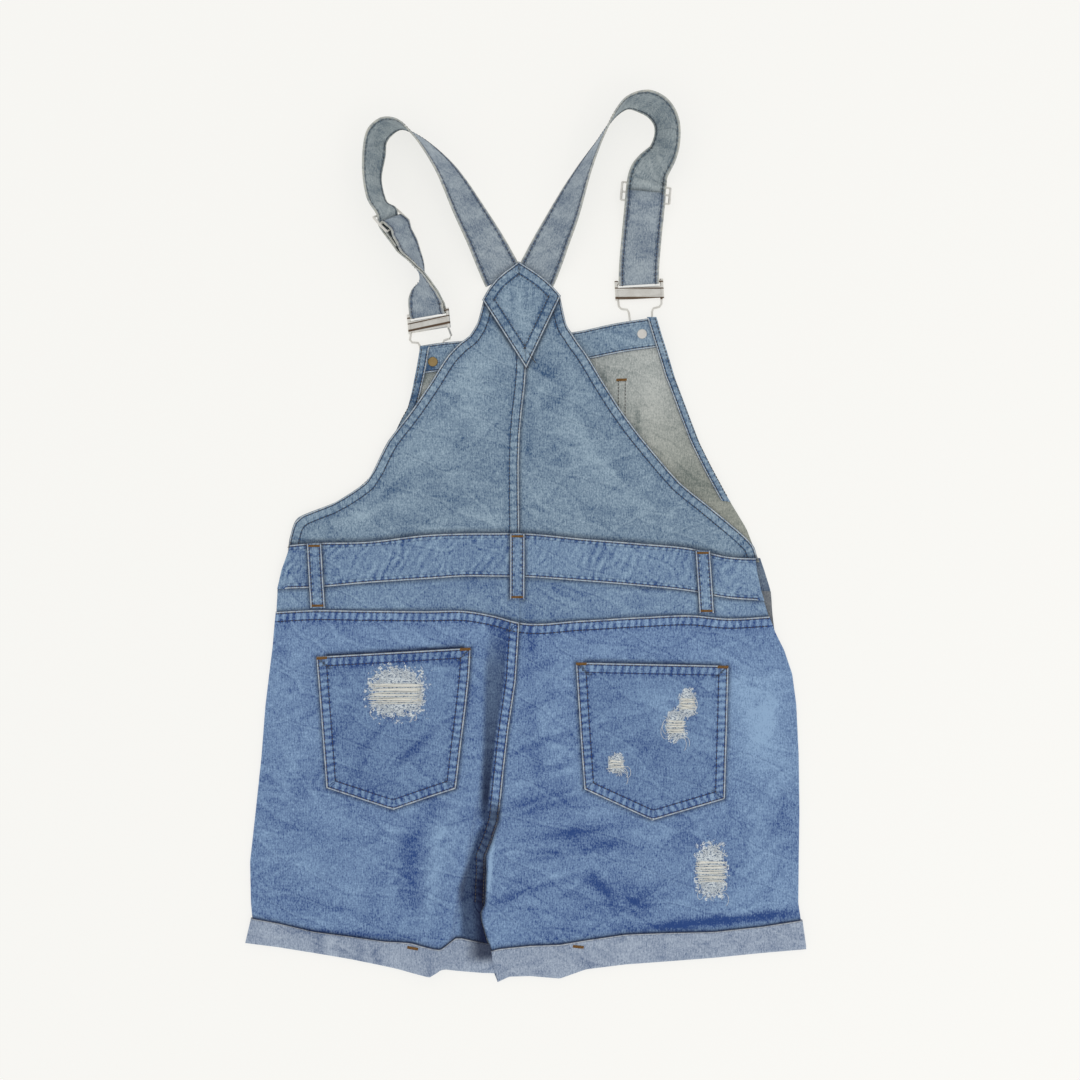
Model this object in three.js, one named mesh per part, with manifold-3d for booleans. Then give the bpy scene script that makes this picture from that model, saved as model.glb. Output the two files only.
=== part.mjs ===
// Denim shortalls laid flat on their front, in millimetres.
// +X is to the wearer's right side of the laid garment, +Y points from hem to straps, +Z is up.
// The origin is on the floor under the middle of the garment.
import * as THREE from 'three';
import * as BufferGeometryUtils from 'three/addons/utils/BufferGeometryUtils.js';
import Module from 'manifold-3d';

const wasm = await Module();
wasm.setup();

// Driving sizes.
const CLOTH = 1.2;
const GAP = 0.3;
const LAYER = CLOTH + GAP;
const SEAM_LAP = 9;
const LAP_RISE = 6;
const SIDE_ROUND = 4;
const BACK_LEVEL = 3.2;
const SEAM_SLACK = 0.25;
const HEM_RISE = 12;
const LOOP_WIDTH = 14;
const BAND_HEIGHT = 27.5;
const FACING_WIDTH = 9;
const STRAP_WIDTH = 38;
const STRAP_THICK = 1.6;
const WIRE = 2.2;
const SLIDER_WIRE = 2;
const BUCKLE_BAR = 3;

const COLOURS = {
  leg: 0x6f8bb5,
  bib: 0x7d96b2,
  pocket: 0x5a73a5,
  cuff: 0xafb4c3,
  inside: 0xafb4af,
  strap: 0x7d91a5,
  steel: 0xc8c8c4,
  brass: 0xa58f5c,
};

// A table is written as its column names and its rows. A column is read at any key by straight
// lines between rows, or by a smooth curve through them.
function table(names, ...rows) {
  const columns = names.split(' ');
  return rows.map((row) => Object.fromEntries(columns.map((name, i) => [name, row[i]])));
}

function reader(rows, key, column) {
  const sorted = [...rows].sort((a, b) => a[key] - b[key]);
  return (at) => {
    let i = 0;
    while (i < sorted.length - 2 && sorted[i + 1][key] < at) i += 1;
    const [a, b] = [sorted[i], sorted[i + 1]];
    const share = THREE.MathUtils.clamp((at - a[key]) / (b[key] - a[key]), 0, 1);
    return a[column] + (b[column] - a[column]) * share;
  };
}

const mix = (a, b, share) => a + (b - a) * share;
const smooth = (from, to, at) => THREE.MathUtils.smoothstep(at, from, to);
const fall = (from, to, at) => 1 - smooth(from, to, at);

// The seams that run across the garment.
const ACROSS = table('x waistTop waistBottom yoke',
  [-236, -6, -46.5, -68],
  [-205, -3, -45.6, -66.3],
  [-149, -1.4, -40.9, -66.8],
  [-92, 5.1, -37.1, -67.2],
  [-55, 6.5, -34.7, -67.2],
  [-30, 6.6, -34.9, -71.5],
  [-5, 6.7, -35.2, -78],
  [54, 1.5, -39.1, -76],
  [112, -3.3, -44, -72.7],
  [160, -8.2, -49.3, -71.2],
  [190, -15.3, -55, -74.1],
  [235, -17.5, -58, -72]);
const waistTop = reader(ACROSS, 'x', 'waistTop');
const waistBottom = reader(ACROSS, 'x', 'waistBottom');
const yokeLine = reader(ACROSS, 'x', 'yoke');

// The side outlines from waist to hem. The back ends at the flap line on the right, where the
// side opening shows the front beneath it.
const SIDES = table('y left right flap',
  [6, -219, 216, 214],
  [-12, -224.5, 221.5, 218],
  [-28, -230.5, 227, 219.5],
  [-47, -234.8, 233, 223.5],
  [-71, -236.2, 235, 231],
  [-87, -238, 237, 237],
  [-104, -239.8, 245.8, 245.8],
  [-127, -242.7, 253.5, 253.5],
  [-156, -246.2, 257.4, 257.4],
  [-205, -250, 259.7, 259.7],
  [-260, -255.8, 260.4, 260.4],
  [-306, -260.8, 259.7, 259.7],
  [-345, -260, 259.3, 259.3],
  [-360, -258.4, 261.4, 261.4],
  [-386, -264.4, 265.1, 265.1]);
const leftSide = reader(SIDES, 'y', 'left');
const rightSide = reader(SIDES, 'y', 'right');
const flapSide = reader(SIDES, 'y', 'flap');

// The centre back seam, where the left panel laps over the right one, then the inner leg edges.
const CENTRE = table('y left right',
  [162, 1.3, -7.7],
  [104, -4.5, -13.5],
  [6, -5.2, -14.2],
  [-78, -5, -14],
  [-134, -8.6, -17.6],
  [-180, -15.5, -24.5],
  [-219, -20, -29],
  [-265, -24.7, -33.7],
  [-285, -31, -38],
  [-300, -37.6, -36.9],
  [-314, -37.4, -36.7],
  [-346, -38.7, -38],
  [-353, -42.4, -41.7],
  [-362, -41.6, -40.9],
  [-378, -39.5, -36.2],
  [-391, -34.8, -31.4],
  [-405, -33.3, -29.9],
  [-420, -26, -22.6]);
const leftInner = reader(CENTRE, 'y', 'left');
const rightInner = reader(CENTRE, 'y', 'right');
const CROTCH = { lapEnds: -301, foldBegins: -316 };
const SIDE_SEAM = { open: -84, closed: -100 };

// The turned-up cuffs.
const CUFF_LEFT = table('x top bottom',
  [-266, -357, -382],
  [-234, -362.8, -386],
  [-200, -370.9, -391.5],
  [-165, -375.5, -397.4],
  [-133, -380.1, -404],
  [-107, -381.2, -409.5],
  [-90, -384.5, -412.8],
  [-80, -385.9, -406.6],
  [-64, -376, -408.5],
  [-38, -381.6, -410.6],
  [-26, -384, -410.7]);
const CUFF_RIGHT = table('x top bottom',
  [-34, -390, -404],
  [-26, -387.3, -419.3],
  [-15, -386, -414],
  [5, -384, -413.4],
  [33, -383, -415.8],
  [58, -378.8, -407],
  [95, -373.4, -402.4],
  [132, -372, -399.7],
  [178, -371, -396.2],
  [224, -366, -391.6],
  [266, -359.5, -388]);

// The long fold down the left leg: where its crest runs and how high it stands.
const RIDGE = table('y crest height',
  [-66, -50, 0],
  [-150, -44, 0.4],
  [-209, -43, 5],
  [-240, -47.5, 7.5],
  [-280, -55, 10],
  [-320, -62, 11],
  [-345, -68, 11],
  [-374, -72.5, 10.5],
  [-390, -81, 10],
  [-415, -84, 9.5]);
const RIDGE_RUN = { gentle: 45, steep: 9 };
const RIDGE_SHARED = 0.85;
const crestLine = reader(RIDGE, 'y', 'crest');
const crestHeight = reader(RIDGE, 'y', 'height');

function ridge(x, y) {
  const crest = crestLine(y);
  const rise = smooth(crest - RIDGE_RUN.gentle, crest, x);
  const drop = fall(crest, crest + RIDGE_RUN.steep, x);
  return crestHeight(y) * (x < crest ? rise : drop);
}

// Soft creases on the back: a line from one point to another, its depth and its half width.
const CREASES = table('x0 y0 x1 y1 depth width',
  [10, -268, 118, -290, -0.8, 15],
  [62, -318, 122, -358, -0.9, 14],
  [-10, -345, 62, -305, 0.8, 17],
  [150, -310, 236, -262, -0.8, 17],
  [176, -350, 240, -318, 0.7, 15],
  [214, -196, 246, -128, 0.7, 15],
  [22, -120, 30, -215, 0.7, 14],
  [-232, -318, -140, -338, 0.8, 17],
  [-214, -276, -128, -292, -0.7, 15],
  [-112, -282, -100, -368, -0.8, 14],
  [-228, -120, -222, -230, 0.7, 15],
  [-180, 60, -60, 92, 0.6, 15],
  [30, 128, 96, 44, 0.6, 15],
  [-66, 20, -24, 118, -0.2, 14]);

function creases(x, y) {
  let height = 0;
  for (const crease of CREASES) {
    const [runX, runY] = [crease.x1 - crease.x0, crease.y1 - crease.y0];
    const length2 = runX * runX + runY * runY;
    const share = ((x - crease.x0) * runX + (y - crease.y0) * runY) / length2;
    const across = ((x - crease.x0) * runY - (y - crease.y0) * runX) / Math.sqrt(length2);
    const ends = smooth(-0.15, 0.3, share) * fall(0.7, 1.15, share);
    height += crease.depth * ends * Math.exp(-((across / crease.width) ** 2));
  }
  return height;
}

// The bib's buttons raise its corners over their wire hooks.
const BUTTONS = table('name x y',
  ['left', -87, 168.4],
  ['right', 110.7, 194.7]);
const CORNER = { lift: 4.6, flat: 24, end: 60 };
const BACK_CORNER = { lift: 5, flat: 38, end: 84 };

function cornerLift(x, y, corner = CORNER) {
  const lifts = BUTTONS.map((b) => fall(corner.flat, corner.end, Math.hypot(x - b.x, y - b.y)));
  return corner.lift * Math.max(...lifts);
}

function cuffTable(side) {
  return side === 'left' ? CUFF_LEFT : CUFF_RIGHT;
}

function hemLift(side, x, y) {
  const top = reader(cuffTable(side), 'x', 'top')(x);
  return fall(top, top + HEM_RISE, y);
}

// Height of the under face of the back's lowest layer.
const TIP = { starts: 200, ends: 232, drop: 4.1 };
const OVER_BAND = { starts: 10, ends: 28, rise: 1.7 };
const HEM_BACK_LIFT = 0.5;
const CUFF_SLACK = 0.15;

function backBase(x, y, hem = 0) {
  const tip = TIP.drop * smooth(TIP.starts, TIP.ends, y);
  const band = OVER_BAND.rise * smooth(OVER_BAND.starts, OVER_BAND.ends, y);
  const creased = (1 - hem) * creases(x, y);
  const raised = band + ridge(x, y) + cornerLift(x, y, BACK_CORNER) + HEM_BACK_LIFT * hem;
  return BACK_LEVEL + creased + raised - tip;
}

function build(outer, inner) {
  const rows = outer.length;
  const columns = outer[0].length;
  const points = [...outer.flat(), ...inner.flat()];
  const place = (r, c) => r * columns + c;
  const under = rows * columns;
  const faces = [];
  const quad = (a, b, c, d) => faces.push(a, b, c, a, c, d);
  for (let r = 0; r < rows - 1; r += 1) {
    for (let c = 0; c < columns - 1; c += 1) {
      quad(place(r, c), place(r, c + 1), place(r + 1, c + 1), place(r + 1, c));
      const [a, b, d] = [place(r, c), place(r + 1, c), place(r + 1, c + 1)];
      quad(under + a, under + b, under + d, under + place(r, c + 1));
    }
  }
  for (let c = 0; c < columns - 1; c += 1) {
    quad(place(0, c + 1), place(0, c), under + place(0, c), under + place(0, c + 1));
    const last = rows - 1;
    quad(place(last, c), place(last, c + 1), under + place(last, c + 1), under + place(last, c));
  }
  for (let r = 0; r < rows - 1; r += 1) {
    quad(place(r, 0), place(r + 1, 0), under + place(r + 1, 0), under + place(r, 0));
    const last = columns - 1;
    quad(place(r + 1, last), place(r, last), under + place(r, last), under + place(r + 1, last));
  }
  return solid(points, faces);
}

// A closed mesh from points and faces, turned so that its faces point out.
function solid(points, faces) {
  let volume = 0;
  for (let i = 0; i < faces.length; i += 3) {
    const [a, b, c] = [points[faces[i]], points[faces[i + 1]], points[faces[i + 2]]];
    volume += a.dot(new THREE.Vector3().crossVectors(b, c));
  }
  const turned = volume < 0 ? faces.map((_, i) => faces[i - (i % 3) + [0, 2, 1][i % 3]]) : faces;
  const geometry = new THREE.BufferGeometry();
  const numbers = points.flatMap((p) => [p.x, p.y, p.z]);
  geometry.setAttribute('position', new THREE.Float32BufferAttribute(numbers, 3));
  geometry.setIndex(turned);
  return geometry;
}

function toManifold(geometry) {
  const bare = geometry.clone();
  bare.deleteAttribute('normal');
  bare.deleteAttribute('uv');
  const merged = BufferGeometryUtils.mergeVertices(bare, 1e-4);
  return new wasm.Manifold(new wasm.Mesh({
    numProp: 3,
    vertProperties: merged.attributes.position.array,
    triVerts: Uint32Array.from(merged.index.array),
  }));
}

function fromManifold(shape) {
  const mesh = shape.getMesh();
  const geometry = new THREE.BufferGeometry();
  geometry.setAttribute('position', new THREE.BufferAttribute(new Float32Array(mesh.vertProperties), 3));
  geometry.setIndex(new THREE.BufferAttribute(new Uint32Array(mesh.triVerts), 1));
  return geometry;
}

function join(geometries) {
  return fromManifold(geometries.map(toManifold).reduce((all, next) => all.add(next)));
}

const shortalls = new THREE.Group();
shortalls.name = 'shortalls';

function addPiece(name, geometry, colour, metal = false) {
  geometry.computeVertexNormals();
  const material = new THREE.MeshStandardMaterial({
    color: colour,
    roughness: metal ? 0.3 : 0.95,
    metalness: metal ? 1 : 0,
  });
  const mesh = new THREE.Mesh(geometry, material);
  mesh.name = name;
  shortalls.add(mesh);
}

const spread = (count) => Array.from({ length: count + 1 }, (_, i) => i / count);

// The back bib: two panels from the armholes to the centre seam.
const ARMHOLES = table('leftX leftY rightX rightY centreY',
  [-225, -14, 219, -25, -6],
  [-223, 2, 214.5, -10, 0],
  [-215.5, 21.1, 207.4, 7.9, 12],
  [-178.8, 36.2, 174.7, 31.8, 38],
  [-148.8, 56.8, 145, 56, 62],
  [-130.2, 92.9, 109.3, 98.3, 100],
  [-106.6, 122.9, 90, 124.5, 132],
  [-88.4, 149.6, 71.8, 153, 162],
  [-80, 163.6, 64.5, 165.5, 176],
  [-72.1, 175.1, 57, 177.5, 190],
  [-61.8, 185.7, 50, 187, 201],
  [-52.1, 193.2, 44.9, 195, 212],
  [-44.8, 205.6, 39.1, 204.4, 226],
  [-39.4, 227.4, 33.3, 231.2, 250]);
const BIB_SEAM = table('y seam', [-20, -5.2], [6, -5.2], [104, -4.5], [162, 1.3], [264, -5.8]);
const bibSeam = reader(BIB_SEAM, 'y', 'seam');

function lapOver(distance) {
  return fall(SEAM_LAP + 0.5, SEAM_LAP + LAP_RISE, distance);
}

function bibRow(side, edge) {
  return (share) => {
    const seam = bibSeam(edge.centreY);
    const inner = side === 'left' ? seam : seam - SEAM_LAP;
    const outer = [edge[`${side}X`], edge[`${side}Y`]];
    return [mix(outer[0], inner, share), mix(outer[1], edge.centreY, share)];
  };
}

const leftBibUnder = (x, y) => backBase(x, y) + (LAYER + SEAM_SLACK) * lapOver(bibSeam(y) - x);
const rightBibUnder = (x, y) => backBase(x, y);
const RIGHT_BIB_SHARES = [0, 0.13, 0.25, 0.4, 0.55, 0.7, 0.85, 1];
const LEFT_BIB_SHARES = [0, 0.15, 0.3, 0.45, 0.6, 0.8];
const NARROW_LAP = { share: 0.45, step: 0.01 };

function bibBack(side) {
  const rows = ARMHOLES.map((edge) => bibRow(side, edge));
  if (side === 'right') {
    return liftGrid(rows.map((row) => RIGHT_BIB_SHARES.map(row)), rightBibUnder);
  }
  const grid = ARMHOLES.map((edge) => {
    const seam = bibSeam(edge.centreY);
    const row = bibRow('left', edge);
    const width = seam - edge.leftX;
    const laps = [SEAM_LAP + LAP_RISE, SEAM_LAP + LAP_RISE / 2, SEAM_LAP + 0.5, 0];
    const inner = Math.min(SEAM_LAP + LAP_RISE, width / 2) / width;
    const shares = LEFT_BIB_SHARES.map((share) => share * (1 - inner));
    const most = (lap) => width * NARROW_LAP.share + lap * NARROW_LAP.step;
    return [...shares, ...laps.map((lap) => 1 - Math.min(lap, most(lap)) / width)].map(row);
  });
  return liftGrid(grid, leftBibUnder);
}

function liftGrid(grid, under, thick = CLOTH) {
  const raise = (extra) => grid.map((row) => (
    row.map(([x, y]) => new THREE.Vector3(x, y, under(x, y) + extra))));
  return build(raise(thick), raise(0));
}

addPiece('bib_back_left', bibBack('left'), COLOURS.bib);
addPiece('bib_back_right', bibBack('right'), COLOURS.bib);

// Both sides of the centre seam, for what lies across it.
const seamAt = (y) => (y > 6 ? bibSeam(y) : leftInner(y));
const centreLift = (x, y) => lapOver(seamAt(y) - x) * fall(0.5, LAP_RISE, x - seamAt(y));

// The waistband lies over the bib's lower edge and the yokes' upper edges.
const waistUnder = (x, y) => backBase(x, y) + LAYER * (1 + centreLift(x, y));

function waistBack() {
  const seamRow = [SEAM_LAP + LAP_RISE, SEAM_LAP + 3, SEAM_LAP + 0.5, -0.5, -3, -LAP_RISE];
  const grid = spread(3).map((down) => {
    const yAt = (x) => mix(waistTop(x), waistBottom(x), down);
    const seam = seamAt(yAt(-5));
    const [left, right] = [leftSide(yAt(-230)), flapSide(yAt(220))];
    const leftXs = spread(8).slice(0, -1).map((share) => mix(left, seam - seamRow[0], share));
    const rightXs = spread(8).slice(1).map((share) => mix(seam + LAP_RISE, right, share));
    return [...leftXs, ...seamRow.map((d) => seam - d), ...rightXs].map((x) => [x, yAt(x)]);
  });
  return liftGrid(grid, waistUnder);
}
addPiece('waistband_back', waistBack(), COLOURS.bib);

// The yokes run from under the waistband to under the legs.
function yokeBack(side) {
  const grid = spread(3).map((down) => {
    const yAt = (x) => mix(waistBottom(x) + SEAM_LAP, yokeLine(x) - SEAM_LAP, down);
    const seam = leftInner(yAt(-5));
    if (side === 'left') {
      const left = leftSide(yAt(-235)) + 0.4;
      const laps = [SEAM_LAP + LAP_RISE, SEAM_LAP + 3, SEAM_LAP + 0.5, 0];
      const xs = spread(7).slice(0, -1).map((share) => mix(left, seam - laps[0], share));
      return [...xs, ...laps.map((d) => seam - d)].map((x) => [x, yAt(x)]);
    }
    const right = flapSide(yAt(228)) - 0.4;
    return spread(8).map((share) => mix(seam - SEAM_LAP, right, share)).map((x) => [x, yAt(x)]);
  });
  const lap = (x, y) => (side === 'left' ? LAYER * lapOver(leftInner(y) - x) : 0);
  return liftGrid(grid, (x, y) => backBase(x, y) + lap(x, y));
}
addPiece('yoke_back_left', yokeBack('left'), COLOURS.bib);
addPiece('yoke_back_right', yokeBack('right'), COLOURS.bib);

// How far the legs are raised over the yokes and over each other.
function yokeLap(x, y) {
  return smooth(yokeLine(x) - SEAM_LAP - LAP_RISE, yokeLine(x) - SEAM_LAP - 0.5, y);
}

function legLift(side, x, y) {
  const over = yokeLap(x, y);
  if (side === 'right') return LAYER * over * (1 + fall(0.5, LAP_RISE, x - leftInner(y)));
  const lapped = lapOver(leftInner(y) - x) * smooth(CROTCH.foldBegins, CROTCH.lapEnds, y);
  return LAYER * (over + lapped + over * lapped);
}

const legUnder = (side, x, y) => backBase(x, y, hemLift(side, x, y)) + legLift(side, x, y);

// A leg's rows are blends of the yoke line, the cuff's top and the hem.
const LEG_ROWS = table('yoke cuff hem offset',
  [1, 0, 0, 0],
  [1, 0, 0, -SEAM_LAP - 0.5],
  [1, 0, 0, -SEAM_LAP - 3],
  [1, 0, 0, -SEAM_LAP - LAP_RISE],
  [0.87, 0.13, 0, 0],
  [0.78, 0.22, 0, 0],
  [0.68, 0.32, 0, 0],
  [0.58, 0.42, 0, 0],
  [0.48, 0.52, 0, 0],
  [0.39, 0.61, 0, 0],
  [0.3, 0.7, 0, 0],
  [0.25, 0.75, 0, 0],
  [0.2, 0.8, 0, 0],
  [0.13, 0.87, 0, 0],
  [0, 1, 0, HEM_RISE],
  [0, 1, 0, HEM_RISE / 2],
  [0, 1, 0, 0],
  [0, 0.5, 0.5, 0],
  [0, 0, 1, 0]);
const HEM_INSET = CLOTH + GAP + 0.6;

function legRow(side, row) {
  const top = reader(cuffTable(side), 'x', 'top');
  const bottom = reader(cuffTable(side), 'x', 'bottom');
  return (x) => row.yoke * yokeLine(x) + row.cuff * top(x) + row.hem * (bottom(x) + HEM_INSET) + row.offset;
}

// A side fold is a quarter ellipse from the middle height of the leg up to its flat.
const FOLD_ANGLES = [0, 28, 58, 90].map((a) => THREE.MathUtils.degToRad(a));
const LEFT_COLUMNS = [0.13, 0.28, 0.42, 0.56, 0.7, 0.85, 1];
const RIDGE_COLUMNS = [-35, -25, -15, -6, 0, 4, 9];
const RIGHT_COLUMNS = [0.08, 0.17, 0.26, 0.35, 0.44, 0.53, 0.62, 0.71, 0.8, 0.88];
const RIGHT_FRONT_COLUMNS = [0.14, 0.32, 0.52, 0.72];
const RIGHT_SEAM_STEPS = [SEAM_LAP + LAP_RISE, SEAM_LAP + 0.5];
const LAP_STEPS = [0, SEAM_LAP + 0.5, SEAM_LAP + 3, SEAM_LAP + LAP_RISE];

// Where a leg's columns stand in one row. Each has its place, the place that sets its height, how
// much of a fold it is part of, and its angle in that fold.
function legColumns(side, yAt, face, grow) {
  const outerEdge = side === 'left' ? leftSide : (y) => (face === 'back' ? flapSide(y) : rightSide(y));
  const besideRight = (y) => Math.min(leftInner(y), rightInner(y) - 1);
  const leftEdge = face === 'back' ? leftInner : besideRight;
  const innerEdge = side === 'left' ? leftEdge : rightInner;
  const towardInner = side === 'left' ? 1 : -1;
  const outerX = outerEdge(yAt(side === 'left' ? -255 : 255));
  const innerX = innerEdge(yAt(-30));
  const yOuter = yAt(outerX);
  const yInner = yAt(innerX);
  const outerFold = fall(SIDE_SEAM.closed, SIDE_SEAM.open, yOuter);
  const innerFold = fall(CROTCH.foldBegins, CROTCH.lapEnds, yInner);
  const sweep = (edge, direction, fold, steps) => FOLD_ANGLES.map((angle, i) => {
    const flat = edge + direction * SIDE_ROUND;
    const rounded = (reach) => flat - direction * (SIDE_ROUND + reach) * Math.cos(angle);
    const straight = edge - direction * grow + direction * steps[i];
    return {
      out: mix(straight, rounded(grow), fold),
      in: mix(straight, rounded(grow - CLOTH), fold),
      level: mix(straight, flat, fold),
      fold,
      rise: Math.sin(angle),
    };
  });
  const straightSteps = FOLD_ANGLES.map((angle) => SIDE_ROUND * (1 - Math.cos(angle)));
  const outer = sweep(outerX, towardInner, outerFold, straightSteps);
  const lapSteps = side === 'left' && face === 'back' ? LAP_STEPS : straightSteps;
  const inner = sweep(innerX, -towardInner, innerFold, lapSteps).reverse();
  const from = outer[3].level;
  const to = inner[0].level;
  const plain = (x) => ({ out: x, in: x, level: x, fold: 0, rise: 1 });
  if (side === 'right') {
    const middle = face === 'back' ? RIGHT_COLUMNS : RIGHT_FRONT_COLUMNS;
    const beside = RIGHT_SEAM_STEPS.map((step) => plain(innerX + step));
    return [...outer, ...middle.map((share) => plain(mix(from, to, share))), ...beside, ...inner];
  }
  const crest = crestLine(yAt(-60));
  const begin = crest - RIDGE_RUN.gentle;
  const middle = (face === 'back' ? LEFT_COLUMNS : [0.25, 0.6, 1]).map((share) => mix(from, begin, share));
  const room = to - crest;
  const steepest = Math.min(RIDGE_RUN.steep, room - 1);
  const ridges = RIDGE_COLUMNS.map((d) => crest + (d < 0 ? d : (d / RIDGE_RUN.steep) * steepest));
  return [...outer, ...[...middle, ...ridges].map(plain), ...inner];
}

// The middle height of a leg at its sides, between its back and its front.
const MIDDLE = (BACK_LEVEL + CLOTH) / 2;
const HEM_MIDDLE = MIDDLE + (LAYER + HEM_BACK_LIFT) / 2;
const midHeight = (hem) => mix(MIDDLE, HEM_MIDDLE, hem);

// The points of one row of a leg panel or cuff half, on its outer or inner face, whose height
// where it lies flat is levelOf.
function legPoints(side, face, row, levelOf, which, grow) {
  const sign = face === 'back' ? 1 : -1;
  return legColumns(side, row, face, grow).map((column) => {
    const x = column[which];
    const flatZ = levelOf(column.level, row(column.level));
    const middle = midHeight(hemLift(side, column.level, row(column.level)));
    const folded = middle + (flatZ - middle) * column.rise;
    const apart = sign * Math.max(sign * (folded - middle), GAP / 2) + middle;
    return new THREE.Vector3(x, row(x), mix(flatZ, apart, column.fold));
  });
}

// A leg panel. The level functions give the heights of its inner and outer faces.
function wrap(side, face, rows, inside, outside) {
  return build(
    rows.map((row) => legPoints(side, face, row, outside, 'out', 0)),
    rows.map((row) => legPoints(side, face, row, inside, 'in', 0)),
  );
}

// The front of a leg lies on the floor, raised over the waistband above and over the cuff below.
function frontBase(side, x, y) {
  const waist = smooth(waistBottom(x) - LAP_RISE, waistBottom(x) - 0.5, y);
  return (LAYER + CUFF_SLACK) * hemLift(side, x, y) + LAYER * waist + RIDGE_SHARED * ridge(x, y);
}

const FRONT_ROWS = table('waist yoke cuff hem offset',
  [1, 0, 0, 0, SEAM_LAP],
  [1, 0, 0, 0, -0.5],
  [1, 0, 0, 0, -LAP_RISE],
  [0, 0.8, 0.2, 0, 0],
  [0, 0.55, 0.45, 0, 0],
  [0, 0.4, 0.6, 0, 0],
  [0, 0.3, 0.7, 0, 0],
  [0, 0.25, 0.75, 0, 0],
  [0, 0.2, 0.8, 0, 0],
  [0, 0.1, 0.9, 0, 0],
  [0, 0, 1, 0, HEM_RISE],
  [0, 0, 1, 0, HEM_RISE / 2],
  [0, 0, 1, 0, 0],
  [0, 0, 0.5, 0.5, 0],
  [0, 0, 0, 1, 0]);

const LEG_SIDES = ['left', 'right'];
for (const side of LEG_SIDES) {
  const backRows = LEG_ROWS.map((row) => legRow(side, row));
  const backUnder = (x, y) => legUnder(side, x, y);
  addPiece(`leg_back_${side}`,
    wrap(side, 'back', backRows, backUnder, (x, y) => backUnder(x, y) + CLOTH), COLOURS.leg);
  const frontRows = FRONT_ROWS.map((row) => (x) => legRow(side, row)(x) + row.waist * waistBottom(x));
  const frontUnder = (x, y) => frontBase(side, x, y);
  addPiece(`leg_front_${side}`,
    wrap(side, 'front', frontRows, (x, y) => frontUnder(x, y) + CLOTH, frontUnder), COLOURS.leg);
}

// Cuff halves: the turned-up cloth outside the leg, closed below the hem by a lip.
const CUFF_GROW = LAYER;
const LIP = 0.05;
for (const side of LEG_SIDES) {
  const top = reader(cuffTable(side), 'x', 'top');
  const bottom = reader(cuffTable(side), 'x', 'bottom');
  const rows = [top, (x) => mix(top(x), bottom(x) + HEM_INSET, 0.5), (x) => bottom(x) + CLOTH + LIP,
    (x) => bottom(x) + CLOTH, bottom];
  const lipFrom = 3;
  for (const face of ['back', 'front']) {
    const sign = face === 'back' ? 1 : -1;
    const step = LAYER + CUFF_SLACK;
    const own = (x, y) => (face === 'back' ? legUnder(side, x, y) + step : frontBase(side, x, y) - step);
    const near = (x, y) => own(x, y) + (face === 'back' ? 0 : CLOTH);
    const far = (x, y) => own(x, y) + (face === 'back' ? CLOTH : 0);
    const middle = (x, y) => midHeight(hemLift(side, x, y)) + ridge(x, y) * (1 + RIDGE_SHARED) / 2;
    const lip = (x, y) => middle(x, y) + sign * GAP / 2;
    const outer = rows.map((row) => legPoints(side, face, row, far, 'out', CUFF_GROW));
    const inner = rows.map((row, i) => (
      legPoints(side, face, row, i < lipFrom ? near : lip, 'in', CUFF_GROW)));
    addPiece(`cuff_${face}_${side}`, build(outer, inner), COLOURS.cuff);
  }
}

// Back pockets, laid on the legs, with a pointed lower edge.
const POCKETS = {
  left: table('x0 y0 x1 y1',
    [-197.8, -110.3, -51.1, -101.9],
    [-196, -132, -52.5, -128],
    [-193.6, -163, -56, -160],
    [-191, -197, -60.5, -196],
    [-188.2, -235, -65, -235]),
  right: table('x0 y0 x1 y1',
    [47.9, -115.8, 192.9, -118.8],
    [49.5, -140, 192.3, -143],
    [51.5, -172, 191.5, -176],
    [53.7, -204, 190.5, -210],
    [56, -236.2, 189.5, -245.4]),
};
const POCKET_POINT = { left: [-124.8, -255.7], right: [120.5, -265.7] };
const POCKET_GAP = 0.6;

function pocket(side) {
  const lines = POCKETS[side];
  const shares = [0, 0.1, 0.2, 0.3, 0.4, 0.5, 0.6, 0.7, 0.8, 0.9, 1];
  const across = (line, share) => [mix(line.x0, line.x1, share), mix(line.y0, line.y1, share)];
  const grid = lines.map((line) => shares.map((share) => across(line, share)));
  const last = lines[lines.length - 1];
  const [tipX, tipY] = POCKET_POINT[side];
  const middle = shares.map((share) => {
    const depth = 1 - Math.abs(2 * share - 1);
    const x = mix(last.x0, last.x1, share) + (tipX - (last.x0 + last.x1) / 2) * depth;
    return [x, mix(last.y0, last.y1, share) + (tipY - (last.y0 + last.y1) / 2) * depth];
  });
  const upper = lines[lines.length - 2];
  const between = shares.map((share, i) => {
    const above = across(upper, share);
    return [mix(above[0], middle[i][0], 0.5), mix(above[1], middle[i][1], 0.5)];
  });
  const rows = [...grid.slice(0, -1), between, middle];
  const halfway = (a, b) => a.map((p, c) => p.map((v, k) => mix(v, b[c][k], 0.5)));
  const finer = rows.flatMap((row, i) => (i === 0 ? [row] : [halfway(rows[i - 1], row), row]));
  const under = (x, y) => legUnder(side, x, y) + CLOTH + POCKET_GAP;
  return liftGrid(finer, under);
}
for (const side of LEG_SIDES) addPiece(`pocket_back_${side}`, pocket(side), COLOURS.pocket);

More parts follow.
